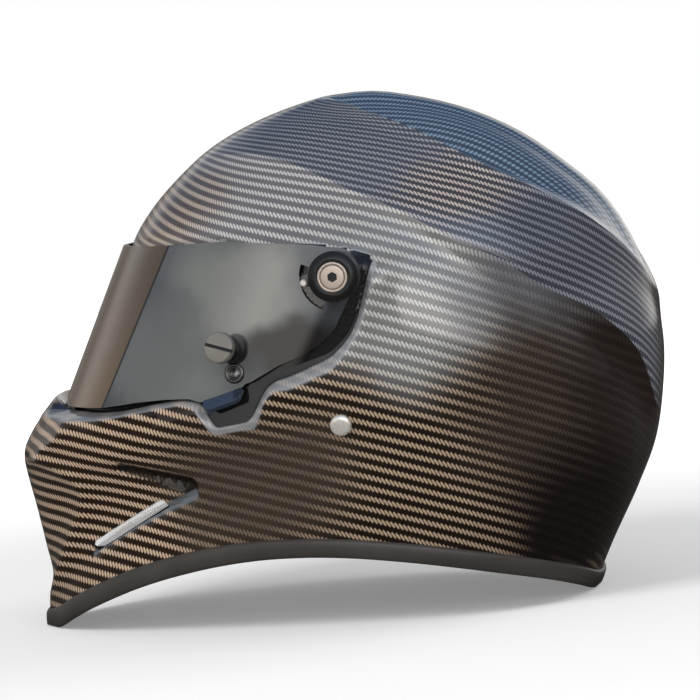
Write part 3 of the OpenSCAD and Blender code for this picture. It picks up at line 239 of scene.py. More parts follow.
def shell_r(phi, th):
    """Distance of the shell's outer face from the middle of the head."""
    a, left = np.abs(phi), phi > 0
    over = (th - curve(a, CREST_TAB)) * DEG_MM
    under = (curve(a, LEDGE_TAB) - th) * DEG_MM
    soft = (under + np.sqrt(under * under + 2.0)) / 2
    sweep = soft / 13 * np.exp(1 - soft / 13)
    spine = ease(10, 26, (90 - th) * DEG_MM * np.sin(np.radians(a)))
    valley = ease(0, 12, over) * spine * ease(60, 110, a) * 2.2
    facet = np.where((a < 40) & (th < -5), crease((a - curve(th, CREASE_TAB)) * DEG_MM, 20, 0.8) * 3.4, 0)
    beak = np.where((a < 45) & (th > -14) & (th < 12), crease((a - curve(th, BEAK_TAB)) * DEG_MM, 15, 0.8)
                    * 3 * ease(4, 16, a) * ease(-13, -7, th) * (1 - ease(5, 12, th)), 0)
    scoop = 4.2 * dent(a, th, *SCOOP)
    groove = 2.8 * dent(a, th, *GROOVE)
    r0 = (base_r(a, th) + CREST_H * crease(over, 16) * ease(30, 115, a) + facet + beak - valley
          - LEDGE_DEPTH * curve(a, LEDGE_SHARE) * sweep - scoop - groove)
    d = inside_lip(a, th, left)
    fade = 1 - ease(26, 34, th) * ease(70, 95, a)
    d0 = inside_lip(a, th, False)
    near = np.exp(-(np.minimum(0, d0 + 4) / 16) ** 2 - (np.maximum(0, d0 - 6) / 8) ** 2)
    lipped = mix(r0, np.maximum(r0, tube_hit(a, th, VISOR_R + 0.6)), near * fade)
    inner = np.minimum(lipped, tube_hit(a, th, RECESS_R + ease(36, 46, th) * 10))
    r = mix(lipped, inner, ease(-lip_w(a), LIP_IN, d) * (1 - ease(98, 110, a)))
    return np.where((th > 60) | (a > 125), r0, r)


def spot(phi, th, r):
    p, t = np.radians(phi), np.radians(th)
    return np.stack([r * np.cos(t) * np.sin(p), MID_Y - r * np.cos(t) * np.cos(p),
                     MID_Z + r * np.sin(t)], -1)


def edge_th(a):
    """Elevation of the shell's lower edge."""
    z = curve(a, RIM) + 2.2 + 0.4
    th = np.full(np.shape(a), -30.0)
    for _ in range(8):
        th = np.degrees(np.arctan2(z - MID_Z, np.cos(np.radians(th)) * base_r(a, th)))
    return th


def all_round(half):
    """Plan angles of the left half, and then of the right half back to the front."""
    return np.concatenate([half, -half[-2:0:-1]])


def shell_grid(half, counts):
    """Rows of plan angle, elevation and distance that follow the shell's features."""
    phi = all_round(half)
    a, left = np.abs(phi), phi > 0
    slant = np.minimum(2, lip_slant(a, left))
    lip = np.minimum(lip_th(a, left), lookup(a, LIP_REAR)) - lip_w(a) / DEG_MM * slant
    low = lookup(a, PORT_LOW)
    floor = np.minimum(lip + (lip_w(a) + LIP_IN) / DEG_MM * slant, mix(lip, low, 0.7))
    guides = [edge_th(a), lip, floor, low, lookup(a, PORT_UP), lookup(a, TOP_LINE),
              curve(a, LEDGE_TAB), curve(a, CREST_TAB), np.full(a.shape, 90.0)]
    rows, marks = [], []
    for k, n in enumerate(counts):
        marks.append(len(rows))
        for i in range(n):
            rows.append(mix(guides[k], guides[k + 1], i / n))
    th = np.array(rows)
    ph = np.broadcast_to(phi, th.shape)
    return ph, th, shell_r(ph, th), marks


# Meshes
def add_object(name, data):
    obj = bpy.data.objects.new(name, data)
    bpy.context.scene.collection.objects.link(obj)
    return obj


def make(name, points, faces, mats, smooth=True):
    """An object from points in millimetres."""
    mesh = bpy.data.meshes.new(name)
    mesh.from_pydata((np.asarray(points, float) * MM).tolist(), [], [list(map(int, f)) for f in faces])
    mesh.validate()
    for m in mats if isinstance(mats, (list, tuple)) else [mats]:
        mesh.materials.append(m)
    mesh.polygons.foreach_set("use_smooth", [smooth] * len(mesh.polygons))
    return add_object(name, mesh)


def outward(obj, sharp=None):
    """Turns all faces outward, and marks edges above an angle as sharp."""
    b = bmesh.new()
    b.from_mesh(obj.data)
    bmesh.ops.recalc_face_normals(b, faces=b.faces)
    b.to_mesh(obj.data)
    b.free()
    if sharp:
        obj.data.set_sharp_from_angle(angle=math.radians(sharp))
    return obj


def dress(obj, body, node=None):
    """Makes a piece ride on a body and stand for a node, whose own mesh it hides."""
    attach(obj, body)
    if node:
        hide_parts(node)


def settle(obj, sharp=None):
    """Applies an object's modifiers to its mesh."""
    bpy.context.view_layer.update()
    graph = bpy.context.evaluated_depsgraph_get()
    mesh = bpy.data.meshes.new_from_object(obj.evaluated_get(graph))
    obj.modifiers.clear()
    obj.data = mesh
    if sharp:
        mesh.set_sharp_from_angle(angle=math.radians(sharp))
    return obj


def cut(obj, cutter, how="DIFFERENCE"):
    mod = obj.modifiers.new("cut", "BOOLEAN")
    mod.object, mod.operation, mod.solver = cutter, how, "MANIFOLD"
    settle(obj, 30)
    bpy.data.objects.remove(cutter)
    return obj


def grid_faces(m, n, skip=None, closed=True):
    """Faces between m rows of n points, without those that skip names."""
    i, j = (g.ravel() for g in np.indices((m - 1, n if closed else n - 1)))
    if skip:
        keep = ~skip(i, j)
        i, j = i[keep], j[keep]
    k = (j + 1) % n
    return np.stack([i * n + j, i * n + k, (i + 1) * n + k, (i + 1) * n + j], 1)


def tube_faces(m, n):
    """Faces of a closed tube of m rings of n points."""
    return grid_faces(m, n).tolist() + [list(range(n)), list(range(m * n - n, m * n))[::-1]]


def dome_mesh(outer, inner, top_out, top_in, hole=None):
    """Points and faces of a closed dome between two grids. A hole names its rows and its half width."""
    m, n = outer.shape[:2]
    s = m * n
    points = np.concatenate([outer.reshape(-1, 3), inner.reshape(-1, 3), [top_out, top_in]])
    r0, r1, c = hole or (0, 0, 0)
    inside = lambda i, j: (i >= r0) & (i < r1) & ((j < c) | (j >= n - c))
    f = grid_faces(m, n, inside)
    faces = f.tolist() + (f[:, ::-1] + s).tolist()
    wall = lambda a, b: faces.append([a, b, b + s, a + s])
    t = (m - 1) * n
    for j in range(n):
        k = (j + 1) % n
        faces += [[t + j, t + k, 2 * s], [s + t + k, s + t + j, 2 * s + 1]]
        if not inside(0, j):
            wall(k, j)
        if inside(r0, j):
            if r0 > 0:
                wall(r0 * n + j, r0 * n + k)
            wall(r1 * n + k, r1 * n + j)
    for i in range(r0, r1):
        wall(i * n + c, (i + 1) * n + c)
        wall((i + 2) * n - c, (i + 1) * n - c)
    return points, faces


def directions(co):
    """Plan angle, elevation and distance of points, from the middle of the head."""
    d = co - MIDDLE
    r = np.linalg.norm(d, axis=1)
    return np.degrees(np.arctan2(d[:, 0], -d[:, 1])), np.degrees(np.arcsin(d[:, 2] / r)), r


def points_of(mesh):
    co = np.empty(len(mesh.vertices) * 3)
    mesh.vertices.foreach_get("co", co)
    return co.reshape(-1, 3) / MM


# Materials
class Value:
    """A node's output, with sums written as sums."""

    def __init__(self, nodes, socket):
        self.nodes, self.socket = nodes, socket

    def __add__(self, other):
        return self.nodes.math("ADD", self, other)

    def __sub__(self, other):
        return self.nodes.math("SUBTRACT", self, other)

    def __rsub__(self, other):
        return self.nodes.math("SUBTRACT", other, self)

    def __mul__(self, other):
        return self.nodes.math("MULTIPLY", self, other)

    def __truediv__(self, other):
        return self.nodes.math("DIVIDE", self, other)


class Nodes:
    """Builds the nodes of a new material, or of a given tree."""

    def __init__(self, name=None, tree=None):
        if name:
            self.mat = bpy.data.materials.new(name)
            self.mat.use_nodes = True
            self.shader = self.mat.node_tree.nodes["Principled BSDF"]
        self.tree = tree or self.mat.node_tree

    def add(self, kind, out=0, inputs=(), **settings):
        node = self.tree.nodes.new(kind)
        for k, v in settings.items():
            setattr(node, k, v)
        for key, v in dict(inputs).items():
            self.put(node.inputs[key], v)
        return Value(self, node.outputs[out])

    def put(self, socket, value):
        if isinstance(value, Value):
            self.tree.links.new(value.socket, socket)
        elif isinstance(value, (tuple, list)) and len(value) == 3 and socket.type == "RGBA":
            socket.default_value = (*value, 1)
        else:
            socket.default_value = value

    def split(self, at):
        """The three parts of a vector."""
        node = self.add("ShaderNodeSeparateXYZ", 0, {0: at}).socket.node
        return [Value(self, s) for s in node.outputs]

    def math(self, op, a, b=0.0, clamp=False):
        return self.add("ShaderNodeMath", 0, {0: a, 1: b}, operation=op, use_clamp=clamp)

    def step(self, x, a, b, lo=0.0, hi=1.0):
        return self.add("ShaderNodeMapRange", 0, {0: x, 1: a, 2: b, 3: lo, 4: hi},
                        interpolation_type="SMOOTHSTEP")

    def blend(self, t, a, b):
        return self.add("ShaderNodeMix", 2, {0: t, 6: a, 7: b}, data_type="RGBA", clamp_factor=True)

    def noise(self, scale, at, detail=2.0, rough=0.5):
        return self.add("ShaderNodeTexNoise", 0, {"Vector": at, "Scale": scale, "Detail": detail,
                                                  "Roughness": rough})

    def blob(self, u, v, at, size):
        """1 inside an oval patch and 0 outside it, with a soft edge."""
        p, q = (u - at[0]) / size[0], (v - at[1]) / size[1]
        return self.step(self.math("SQRT", p * p + q * q), 0.5, 1.5, 1.0, 0.0)

    def place(self):
        return self.add("ShaderNodeTexCoord", "Object")

    def ray(self, kind):
        return self.add("ShaderNodeLightPath", f"Is {kind} Ray")

    def bump(self, height, distance, strength=1.0):
        return self.add("ShaderNodeBump", 0, {"Height": height, "Distance": distance,
                                              "Strength": strength})

    def finish(self, **values):
        for k, v in values.items():
            self.put(self.shader.inputs[k.replace("_", " ").title().replace("Ior", "IOR")], v)
        return self.mat


# Painted light on the twill: oval patches of painted sheen, painted sky reflection and painted shade;
# middle and half size as y and z in metres, tows, gaps
PAINTED_LIGHT_LOW = [
    ((-0.12, 0.075), (0.06, 0.06), (0.85, 0.62, 0.44), (0.02, 0.01, 0.005)),
    ((-0.034, 0.08), (0.045, 0.035), (0.15, 0.115, 0.085), (0.05, 0.036, 0.024)),
    ((0.05, 0.17), (0.055, 0.045), (0.62, 0.605, 0.575), (0.18, 0.18, 0.178)),
    ((-0.078, 0.22), (0.028, 0.02), (0.74, 0.6, 0.46), (0.1, 0.08, 0.07)),
    ((0.105, 0.16), (0.032, 0.03), (0.2, 0.2, 0.215), (0.12, 0.12, 0.13)),
    ((0.1, 0.1), (0.032, 0.05), (0.1, 0.078, 0.06), (0.03, 0.02, 0.015)),
    ((0.15, 0.1), (0.035, 0.075), (0.035, 0.025, 0.02), (0.018, 0.012, 0.01)),
    ((0.13, 0.04), (0.05, 0.035), (0.012, 0.008, 0.007), (0.006, 0.004, 0.004))]
PAINTED_LIGHT_HIGH = [
    ((0.077, 0.213), (0.035, 0.018), (0.7, 0.6, 0.55), (0.05, 0.045, 0.05)),
    ((0.125, 0.19), (0.035, 0.025), (0.26, 0.27, 0.32), (0.04, 0.042, 0.055))]


TOW, TOOTH = 2.9, 2.05


def carbon():
    """2/2 twill under clear lacquer, from weave places in millimetres, with painted sheen, painted sky
    reflection and painted shade in its colours.
    """
    n = Nodes("carbon_twill")
    at = n.add("ShaderNodeAttribute", 1, attribute_name="weave")
    u, v, zone = n.split(at)
    across, along = v / TOW, u / TOOTH
    p, q = along + across, across - along
    fp, fq = n.math("FLOOR", p), n.math("FLOOR", q)
    over = n.math("LESS_THAN", n.math("FLOORED_MODULO", fp + fq, 4.0), 2.0)

    def hump(x):
        y = x * 2.0 - 1.0
        return 1.0 - y * y

    def tow(across, steps, other, start):
        """Height of a tow: round across it, and dipping at the ends of each float."""
        t = n.math("FLOORED_MODULO", steps + other, 4.0) - start
        dip = n.math("POWER", n.math("MAXIMUM", hump(t / 2.0), 0.02), 0.5)
        return hump(n.math("FRACT", across)) * dip

    bright, dim = tow(p, fp, q, 0.0), tow(q, fq, p, 2.0)
    height = over * bright + (1.0 - over) * dim
    place = n.place()
    _, y, z = n.split(place)
    fibre = n.noise(1.0, n.add("ShaderNodeMapping", 0, {0: at, 3: (2.4, 2.4, 1.0)}), 2.0, 0.6)
    sway = (n.noise(16.0, place, 2.0, 0.55) - 0.5) * 0.06
    py, pz = y + sway, z + sway
    band, gap = (0.62, 0.45, 0.31), (0.012, 0.007, 0.004)

    def tone(where, one, two):
        nonlocal band, gap
        band, gap = n.blend(where, band, one), n.blend(where, gap, two)

    # Painted sheen: higher up, tows and gaps turn a hazy silver.
    tone(n.step(pz + py * 0.1, 0.125, 0.17), (0.72, 0.69, 0.67), (0.15, 0.145, 0.15))
    # Painted sheen and painted shade: the lower patches lighten or darken tows and gaps.
    for centre, size, one, two in PAINTED_LIGHT_LOW:
        tone(n.blob(py, pz, centre, size), one, two)
    # Painted sky reflection: above the ledge the twill turns a darker blue-grey.
    tone(n.math("MINIMUM", zone, 1.0), (0.36, 0.37, 0.41), (0.06, 0.065, 0.085))
    # Painted sheen and painted sky reflection in patches on the upper zones.
    for centre, size, one, two in PAINTED_LIGHT_HIGH:
        tone(n.math("MULTIPLY", n.blob(py, pz, centre, size), zone, True), one, two)
    # Painted sky reflection: the crown is tinted blue.
    tone(n.math("SUBTRACT", zone, 1.0, True), (0.32, 0.44, 0.59), (0.058, 0.078, 0.118))
    # Painted sheen: over floats take the bright tow colour as if lit, brightest along each tow's middle, a
    # painted highlight; under floats take the gap colour.
    lit = over * n.step(bright, 0.05, 0.75) * n.step(fibre, 0.2, 0.75, 0.5, 1.0)
    colour = n.blend(lit, gap, band)
    lip, groove, scoop = n.split(n.add("ShaderNodeAttribute", 1, attribute_name="marks"))
    # Painted highlight: the lip's sloping edge is painted light grey, stronger towards the rear, for the
    # sky it reflects.
    lip_highlight = n.step(lip, -1.15, -0.85) * n.step(y, -0.16, -0.14, 0.3, 0.72)
    # Painted shade and reflection: the scoop's hollow and the recess inside the lip are painted near black
    # as painted shade, and the groove's facet blue-grey as painted sky reflection.
    for share, paint in ((n.step(scoop, 0.05, 0.5, 0.0, 0.93), (0.008, 0.006, 0.005)),
                         (n.step(groove, 0.25, 0.6, 0.0, 0.8), (0.14, 0.165, 0.19)),
                         (lip_highlight, (0.34, 0.35, 0.37)), (n.step(lip, -0.25, 0.0), (0.006, 0.006, 0.007))):
        colour = n.blend(share, colour, paint)
    return n.finish(base_color=colour, metallic=0.15, roughness=n.step(height, 0.0, 1.0, 0.5, 0.32),
                    specular_ior_level=0.15, coat_weight=1.0, coat_roughness=0.02, coat_ior=1.5,
                    normal=n.bump(height, 0.0002, 0.6))


def woven(name, colour, pitch):
    """Ribbed webbing or cloth, with threads across it."""
    n = Nodes(name)
    x, y, z = n.split(n.place())
    turns = 2 * math.pi / pitch
    height = n.math("SINE", (x + z) * turns) * n.math("SINE", y * turns)
    # Painted highlight and painted shade: the rib crowns are painted lighter and the dips darker, following
    # the rib height.
    low, high = (tuple(c * k for c in colour) for k in (0.6, 1.4))
    tone = n.blend(n.step(height, -1.0, 1.0), low, high)
    return n.finish(base_color=tone, roughness=n.step(n.noise(800.0, n.place()), 0.2, 0.8, 0.7, 0.95),
                    normal=n.bump(height, pitch / 8, 0.6))


def glaze(name, colour, rough=0.3, metallic=0.0, spots=300.0, change=0.12, depth=0.00002, coat=0.0,
          coat_rough=0.1):
    """A plain finish with grain, faint marks and small changes of tone."""
    n = Nodes(name)
    place = n.place()
    fine = n.noise(spots, place, 4.0, 0.6)
    low, high = (tuple(min(1, c * (1 + s * change)) for c in colour) for s in (-1, 1))
    return n.finish(base_color=n.blend(n.step(n.noise(30.0, place, 3.0), 0.3, 0.7), low, high),
                    roughness=n.step(fine, 0.25, 0.75, rough * 0.8, min(1, rough * 1.25)),
                    metallic=metallic, coat_weight=coat, coat_roughness=coat_rough,
                    normal=n.bump(fine, depth, 0.5))


def visor_smoke_and_reflections():
    """A grey smoked mirror with painted reflections: soft lighter patches and a dark one, a change of tone
    with height, and a tan strip in front of a dark line.
    """
    n = Nodes("visor_smoke_and_reflections")
    place = n.place()
    _, y, z = n.split(place)
    line = y + z * -0.53
    # Painted reflection: the tan strip is lighter low down, and the grey is darker low down and lighter
    # higher up.
    rise = n.step(z, 0.12, 0.2)
    tan = n.blend(rise, (0.2, 0.13, 0.07), (0.12, 0.082, 0.052))
    grey = n.blend(rise, (0.05, 0.055, 0.062), (0.09, 0.1, 0.115))
    haze = (n.noise(22.0, place, 3.0) - 0.5) * 0.05
    py, pz = y + haze, z + haze
    # Painted reflections: two lighter patches and a dark patch on the grey.
    for centre, size, paint in (((-0.04, 0.178), (0.035, 0.03), (0.27, 0.275, 0.255)),
                                ((-0.082, 0.14), (0.032, 0.03), (0.19, 0.195, 0.19)),
                                ((-0.012, 0.146), (0.03, 0.014), (0.025, 0.024, 0.024))):
        grey = n.blend(n.blob(py, pz, centre, size), grey, paint)
    # A thin dark line painted along the edge of the tan painted reflection, not a seam in the visor.
    seam = n.step(line, -0.1809, -0.1804) * n.step(line, -0.1791, -0.1796)
    colour = n.blend(seam, n.blend(n.step(line, -0.1803, -0.1797), tan, grey), (0.02, 0.016, 0.012))
    return n.finish(base_color=colour, metallic=0.55, roughness=0.07, coat_weight=1.0, coat_roughness=0.02)


M = {
    "carbon": carbon(),
    "visor": visor_smoke_and_reflections(),
    "rubber": glaze("trim_rubber", (0.05, 0.045, 0.04), 0.42, spots=900.0, depth=0.00003),
    "black_metal": glaze("black_metal", (0.012, 0.012, 0.012), 0.33, 0.2),
    "black_plastic": glaze("black_plastic", (0.012, 0.012, 0.013), 0.35, spots=1200.0),
    "steel": glaze("steel", (0.55, 0.54, 0.52), 0.28, 1.0, 900.0),
    "bright": glaze("bright_metal", (0.86, 0.82, 0.76), 0.28, 0.6, 700.0, 0.05, 0.000004),
    "plated": glaze("plated_metal", (0.52, 0.43, 0.36), 0.38, 0.5, 700.0),
    "mesh": glaze("wire_mesh", (1.0, 0.98, 0.96), 0.4, 0.0, 900.0),
    "dark_steel": glaze("dark_steel", (0.16, 0.155, 0.15), 0.25, 1.0, 700.0),
    "bronze": glaze("bronze_metal", (0.3, 0.28, 0.25), 0.35, 0.6, 700.0),
    # tab_mirror: a dark smoke plate whose navy blue tint is painted sky reflection.
    "tab": glaze("tab_mirror", (0.035, 0.05, 0.08), 0.08, 0.4, 300.0, coat=1.0, coat_rough=0.03),
    "bush": glaze("bush_plastic", (0.8, 0.78, 0.73), 0.45),
    "web": woven("webbing", (0.035, 0.035, 0.038), 0.0012),
    "foam": glaze("foam", (0.06, 0.06, 0.064), 0.9, spots=500.0, depth=0.0002),
    "cloth": woven("lining_cloth", (0.05, 0.05, 0.055), 0.0016),
    "inside": glaze("shell_inside", (0.03, 0.029, 0.028), 0.6, spots=500.0, depth=0.0001),
}

# The shell
HALF = np.concatenate([np.arange(0, 44, 1), np.arange(44, 104, 0.5), np.arange(104, 181, 2)])
phi, th, out, marks = shell_grid(HALF, [32, 8, 6, 12, 6, 18, 20, 22])
near = np.min([out[np.clip(np.arange(len(out)) + k, 0, len(out) - 1)] for k in range(-2, 3)], 0)
wide = np.min([np.roll(near, k, 1) for k in range(-2, 3)], 0)
rise = np.gradient(out, axis=0) / (out * np.radians(np.gradient(th, axis=0)))
inner = mix(wide - WALL, out - WALL * np.sqrt(1 + rise * rise), 1 - ease(-14, -6, th))
top = float(shell_r(np.array(180.0), np.array(90.0)))
port = (marks[3], marks[4], int(np.argmin(np.abs(HALF - PORT_END))))


def beak(points):
    """Raises the chin's lip in front of the visor, in the rows between the lip and the floor."""
    row = marks[1]
    a = phi[row]
    share = 1 - ease(6, 19, np.abs(a))
    foot = points[row]
    rho = np.hypot(foot[:, 0], foot[:, 1] - MID_Y)
    visor_rho = tube_hit(a, polar(MID_Y - VISOR_FRONT[0], VISOR_FRONT[1])[0], VISOR_R)
    tip = VISOR_FRONT[1] + LIP_TIP_UP
    way = [(rho - 0.9 * t * (tip - foot[:, 2]), foot[:, 2] + t * (tip - foot[:, 2]))
           for t in (0.33, 0.66, 0.94, 1.0)]
    way[3] = (way[3][0] - 0.5, way[3][1] + 0.15)
    way += [(visor_rho + 1.5 + 0.42 * up, np.full(a.shape, VISOR_FRONT[1] + up)) for up in (4.3, 2.0, -0.9)]
    for k, (r, z) in enumerate(way):
        new = np.stack([r * np.sin(np.radians(a)), MID_Y - r * np.cos(np.radians(a)), z], -1)
        points[row + 1 + k] = mix(points[row + 1 + k], new, share[:, None])
    return points


shell = make("shell_dressed", *dome_mesh(beak(spot(phi, th, out)), spot(phi, th, inner),
             [0, MID_Y, MID_Z + top], [0, MID_Y, MID_Z + top - WALL], port),
             [M["carbon"], M["inside"]])


def turn(axis, degrees):
    return Matrix.Rotation(math.radians(degrees), 4, axis)


def move(x, y, z):
    return Matrix.Translation(Vector((x, y, z)))


def base_spot(phi, th):
    """A place on the plain shell, without its ridges."""
    return spot(phi, th, float(base_r(np.array(phi), np.array(th))))


AT_VENT = move(*base_spot(*VENT_MID)) @ turn("Z", VENT_TURN) @ turn("X", 90) @ turn("Z", VENT_TILT)
SIDEWAYS = Matrix(((0, 0, 1, 0), (1, 0, 0, 0), (0, 1, 0, 0), (0, 0, 0, 1)))
FLIP = Matrix.Scale(-1, 4, Vector((1, 0, 0)))


def carry(frame_of, points, left=True):
    """Points placed by a frame in millimetres, mirrored on the wearer's right."""
    m = np.array(frame_of if left else FLIP @ frame_of)
    return np.asarray(points, float) @ m[:3, :3].T + m[:3, 3]


def arc(centre, r, start, end, n=25):
    """Points round a centre, from one angle to another in degrees."""
    return [(centre[0] + r * math.cos(a), centre[1] + r * math.sin(a))
            for a in np.radians(np.linspace(start, end, n))]


def stadium(length, width):
    right = arc((length / 2 - width / 2, 0), width / 2, -90, 90, 16)
    return right + [(-x, -y) for x, y in right]


def prism(name, outline, z0, z1, frame_of, left, mat):
    k = len(outline)
    points = [(x, y, z) for z in (z0, z1) for x, y in outline]
    faces = [list(range(k))[::-1], [k + i for i in range(k)]]
    faces += [[i, (i + 1) % k, k + (i + 1) % k, k + i] for i in range(k)]
    return outward(make(name, carry(frame_of, points, left), faces, mat, False))


for left in (True, False):
    cut(shell, prism("cutter", stadium(VENT_L, VENT_W), -15, 15, AT_VENT, left, M["carbon"]))


WEAVE_FALL = [[0, 0], [20, 0.14], [40, 0.24], [60, 0.27], [90, 0.34], [110, 0.38], [150, 0.42], [180, 0.42]]
NO_LIP_ABOVE = [[-170, 197], [-44, 199], [2, 196], [16, 194], [30, 190], [42, 180]]


def weave_places(obj):
    """Writes where each corner lies on the cloth, in millimetres, bands running round the helmet."""
    mesh = obj.data
    co = points_of(mesh)
    a, t, far = directions(co)
    a = np.abs(a)
    zz = np.arange(-10, 271.0)
    side = np.interp(zz, [p[1] for p in SIDE], [p[0] for p in SIDE])
    steep = np.convolve(np.pad(np.gradient(side), 12, "edge"), np.ones(25) / 25, "valid")
    rise = np.cumsum(np.sqrt(1 + np.minimum(steep ** 2, 9)))
    narrow = np.clip(side / 124, 0.4, 1)
    shrink = np.interp(co[:, 2], zz, narrow)
    ga = np.arange(0, 181.0)
    plan = base_r(ga, np.zeros(181))
    du = np.hypot(plan, np.gradient(plan) / math.radians(1)) * math.radians(1)
    round_it, fall = (s - s[90] for s in (np.cumsum(du), np.cumsum(du * curve(ga, WEAVE_FALL))))
    u = np.interp(a, ga, round_it) * shrink
    v = np.interp(co[:, 2], zz, rise) + np.interp(a, ga, fall) * shrink
    t_ledge = curve(ga, LEDGE_TAB)
    z_ledge = spot(ga, t_ledge, base_r(ga, t_ledge))[:, 2]
    ledge = np.interp(z_ledge, zz, rise) + fall * np.interp(z_ledge, zz, narrow)
    v += 0.25 * np.maximum(0, v - np.interp(a, ga, ledge))
    inside = inside_lip(a, t, co[:, 0] > 0)
    lip = np.clip(inside / lip_w(a), -1.5, 1)
    above = co[:, 2] > lookup(co[:, 1], NO_LIP_ABOVE)
    lip[(a > 108) | above | ((inside > 0) & (far > tube_hit(a, t, RECESS_R + 1.2)))] = -1.5
    # marks: the lip, groove and scoop places, which the twill paints with painted highlight, painted sky
    # reflection and painted shade.
    marks = np.stack([lip, dent(a, t, *GROOVE), dent(a, t, *SCOOP)], 1)
    mesh.attributes.new("marks", "FLOAT_VECTOR", "POINT").data.foreach_set(
        "vector", marks.astype(np.float32).ravel())
    vert = np.empty(len(mesh.loops), int)
    mesh.loops.foreach_get("vertex_index", vert)
    starts = np.array([p.loop_start for p in mesh.polygons])
    sizes = np.array([p.loop_total for p in mesh.polygons])
    mean = lambda values: np.repeat(np.add.reduceat(values[vert], starts) / sizes, sizes)
    # The weave's third part is the zone whose painted sky reflection the twill takes: up to 1 above the
    # ledge, 2 on the crown.
    is_crown = mean(t - curve(a, CREST_TAB)) > 0
    upper = (mean(t - curve(a, LEDGE_TAB)) > 0) * (ease(20, 60, a) * (1 - ease(165, 178, a)))[vert]
    cloth = np.stack([np.where(is_crown, co[vert, 1], u[vert]),
                      np.where(is_crown, np.abs(co[vert, 0]), v[vert]), np.where(is_crown, 2, upper)], 1)
    mesh.attributes.new("weave", "FLOAT_VECTOR", "CORNER").data.foreach_set(
        "vector", cloth.astype(np.float32).ravel())
    centres = np.array([p.center[:] for p in mesh.polygons]) / MM
    ca, ct, far = directions(centres)
    inward = (np.array([p.normal[:] for p in mesh.polygons]) * (centres - MIDDLE)).sum(1) < 0
    mesh.polygons.foreach_set("material_index",
                              (inward & (far < base_r(np.abs(ca), ct) - 1.5)).astype(int))


weave_places(shell)
dress(shell, "helmet", "outer_shell")


# Frames of the fittings
def at_pivot(x):
    return move(x, PIVOT_Y, PIVOT_Z) @ turn("Y", 90)


def on_visor(y, z):
    """Where +Z points out of the visor's tube at a place in side view."""
    a = math.degrees(math.asin((TUBE_Y - lean_y(y, z)) / VISOR_R))
    along = y * math.sin(VISOR_LEAN) + z * math.cos(VISOR_LEAN)
    return (turn("X", -math.degrees(VISOR_LEAN)) @ move(0, TUBE_Y, along) @ turn("Z", -a)
            @ move(VISOR_R, 0, 0) @ turn("Y", 90))


PIVOT_OFF = lean_y(PIVOT_Y, PIVOT_Z) - TUBE_Y
PIVOT_X = math.sqrt(VISOR_R ** 2 - PIVOT_OFF ** 2)
CAP_X = VISOR_R + 0.3
CAP_T = 7.6
KNOB = on_visor(-43.4, 147.6)
EYELET = on_visor(-40.8, 135.2)
TAB = on_visor(-48, 124.6) @ move(0, 0, -VISOR_T / 2) @ turn("Z", 40) @ turn("Y", -42)
RIVET_AT = base_spot(math.degrees(math.atan2(RIVET_X, MID_Y - RIVET_Y)),
                     math.degrees(math.atan2(RIVET_Z - MID_Z, RIVET_X)))
RIVET = move(*RIVET_AT) @ turn("Y", 100)


def lathe(name, profile, frame_of, mat, left=True, steps=96, round_off=0.25):
    """A turned piece: its profile gives radius and height, round the frame's Z."""
    points, rings, faces = [], [], []
    for r, z in profile:
        n = steps if r else 1
        rings.append([len(points) + s % n for s in range(steps + 1)])
        points += [(r * math.cos(t), r * math.sin(t), z) for t in np.arange(n) * 2 * math.pi / n]
    for a, b in zip(rings, rings[1:] + rings[:1]):
        for s in range(steps):
            face = dict.fromkeys([a[s], a[s + 1], b[s + 1], b[s]])
            if len(face) > 2:
                faces.append(face)
    obj = outward(make(name, carry(frame_of, points, left), faces, mat))
    return bevel(obj, round_off) if round_off else obj


def bevel(obj, width):
    mod = obj.modifiers.new("bevel", "BEVEL")
    mod.width, mod.segments, mod.limit_method = width * MM, 2, "ANGLE"
    mod.angle_limit = math.radians(30)
    return settle(obj, 38)


# The visor
def tube(name, r_out, r_in):
    """A leaning tube, or a leaning rod where r_in is 0."""
    lean = turn("X", -math.degrees(VISOR_LEAN)) @ move(0, TUBE_Y, 0)
    profile = [(r_in, 0), (r_out, 0), (r_out, 300), (r_in, 300)]
    return lathe(name, profile, lean, M["visor"], steps=720, round_off=0)


def rounded(points, r=1.5, n=4):
    """An outline with its corners rounded a little."""
    points, out = np.array(points, float), []
    for a, p, b in zip(np.roll(points, 1, 0), points, np.roll(points, -1, 0)):
        u, v = a - p, b - p
        d = min(r, np.linalg.norm(u) * 0.45, np.linalg.norm(v) * 0.45)
        s, e = p + u / np.linalg.norm(u) * d, p + v / np.linalg.norm(v) * d
        out += [tuple((1 - t) ** 2 * s + 2 * t * (1 - t) * p + t * t * e) for t in np.linspace(0, 1, n)]
    return out


def tube_normals(obj):
    """Sets true normals on the round faces, so that the mirror has no facets."""
    mesh = obj.data
    c, s = math.cos(VISOR_LEAN), math.sin(VISOR_LEAN)

    def radial(p):
        ly = p[1] * c - p[2] * s - TUBE_Y * MM
        v = Vector((p[0], ly * c, -ly * s))
        return v.normalized()

    normals = [None] * len(mesh.loops)
    for f in mesh.polygons:
        way = f.normal.dot(radial(f.center))
        for li in f.loop_indices:
            n = f.normal
            if abs(way) > 0.9985:
                n = radial(mesh.vertices[mesh.loops[li].vertex_index].co) * (1 if way > 0 else -1)
            normals[li] = n
    mesh.normals_split_custom_set(normals)


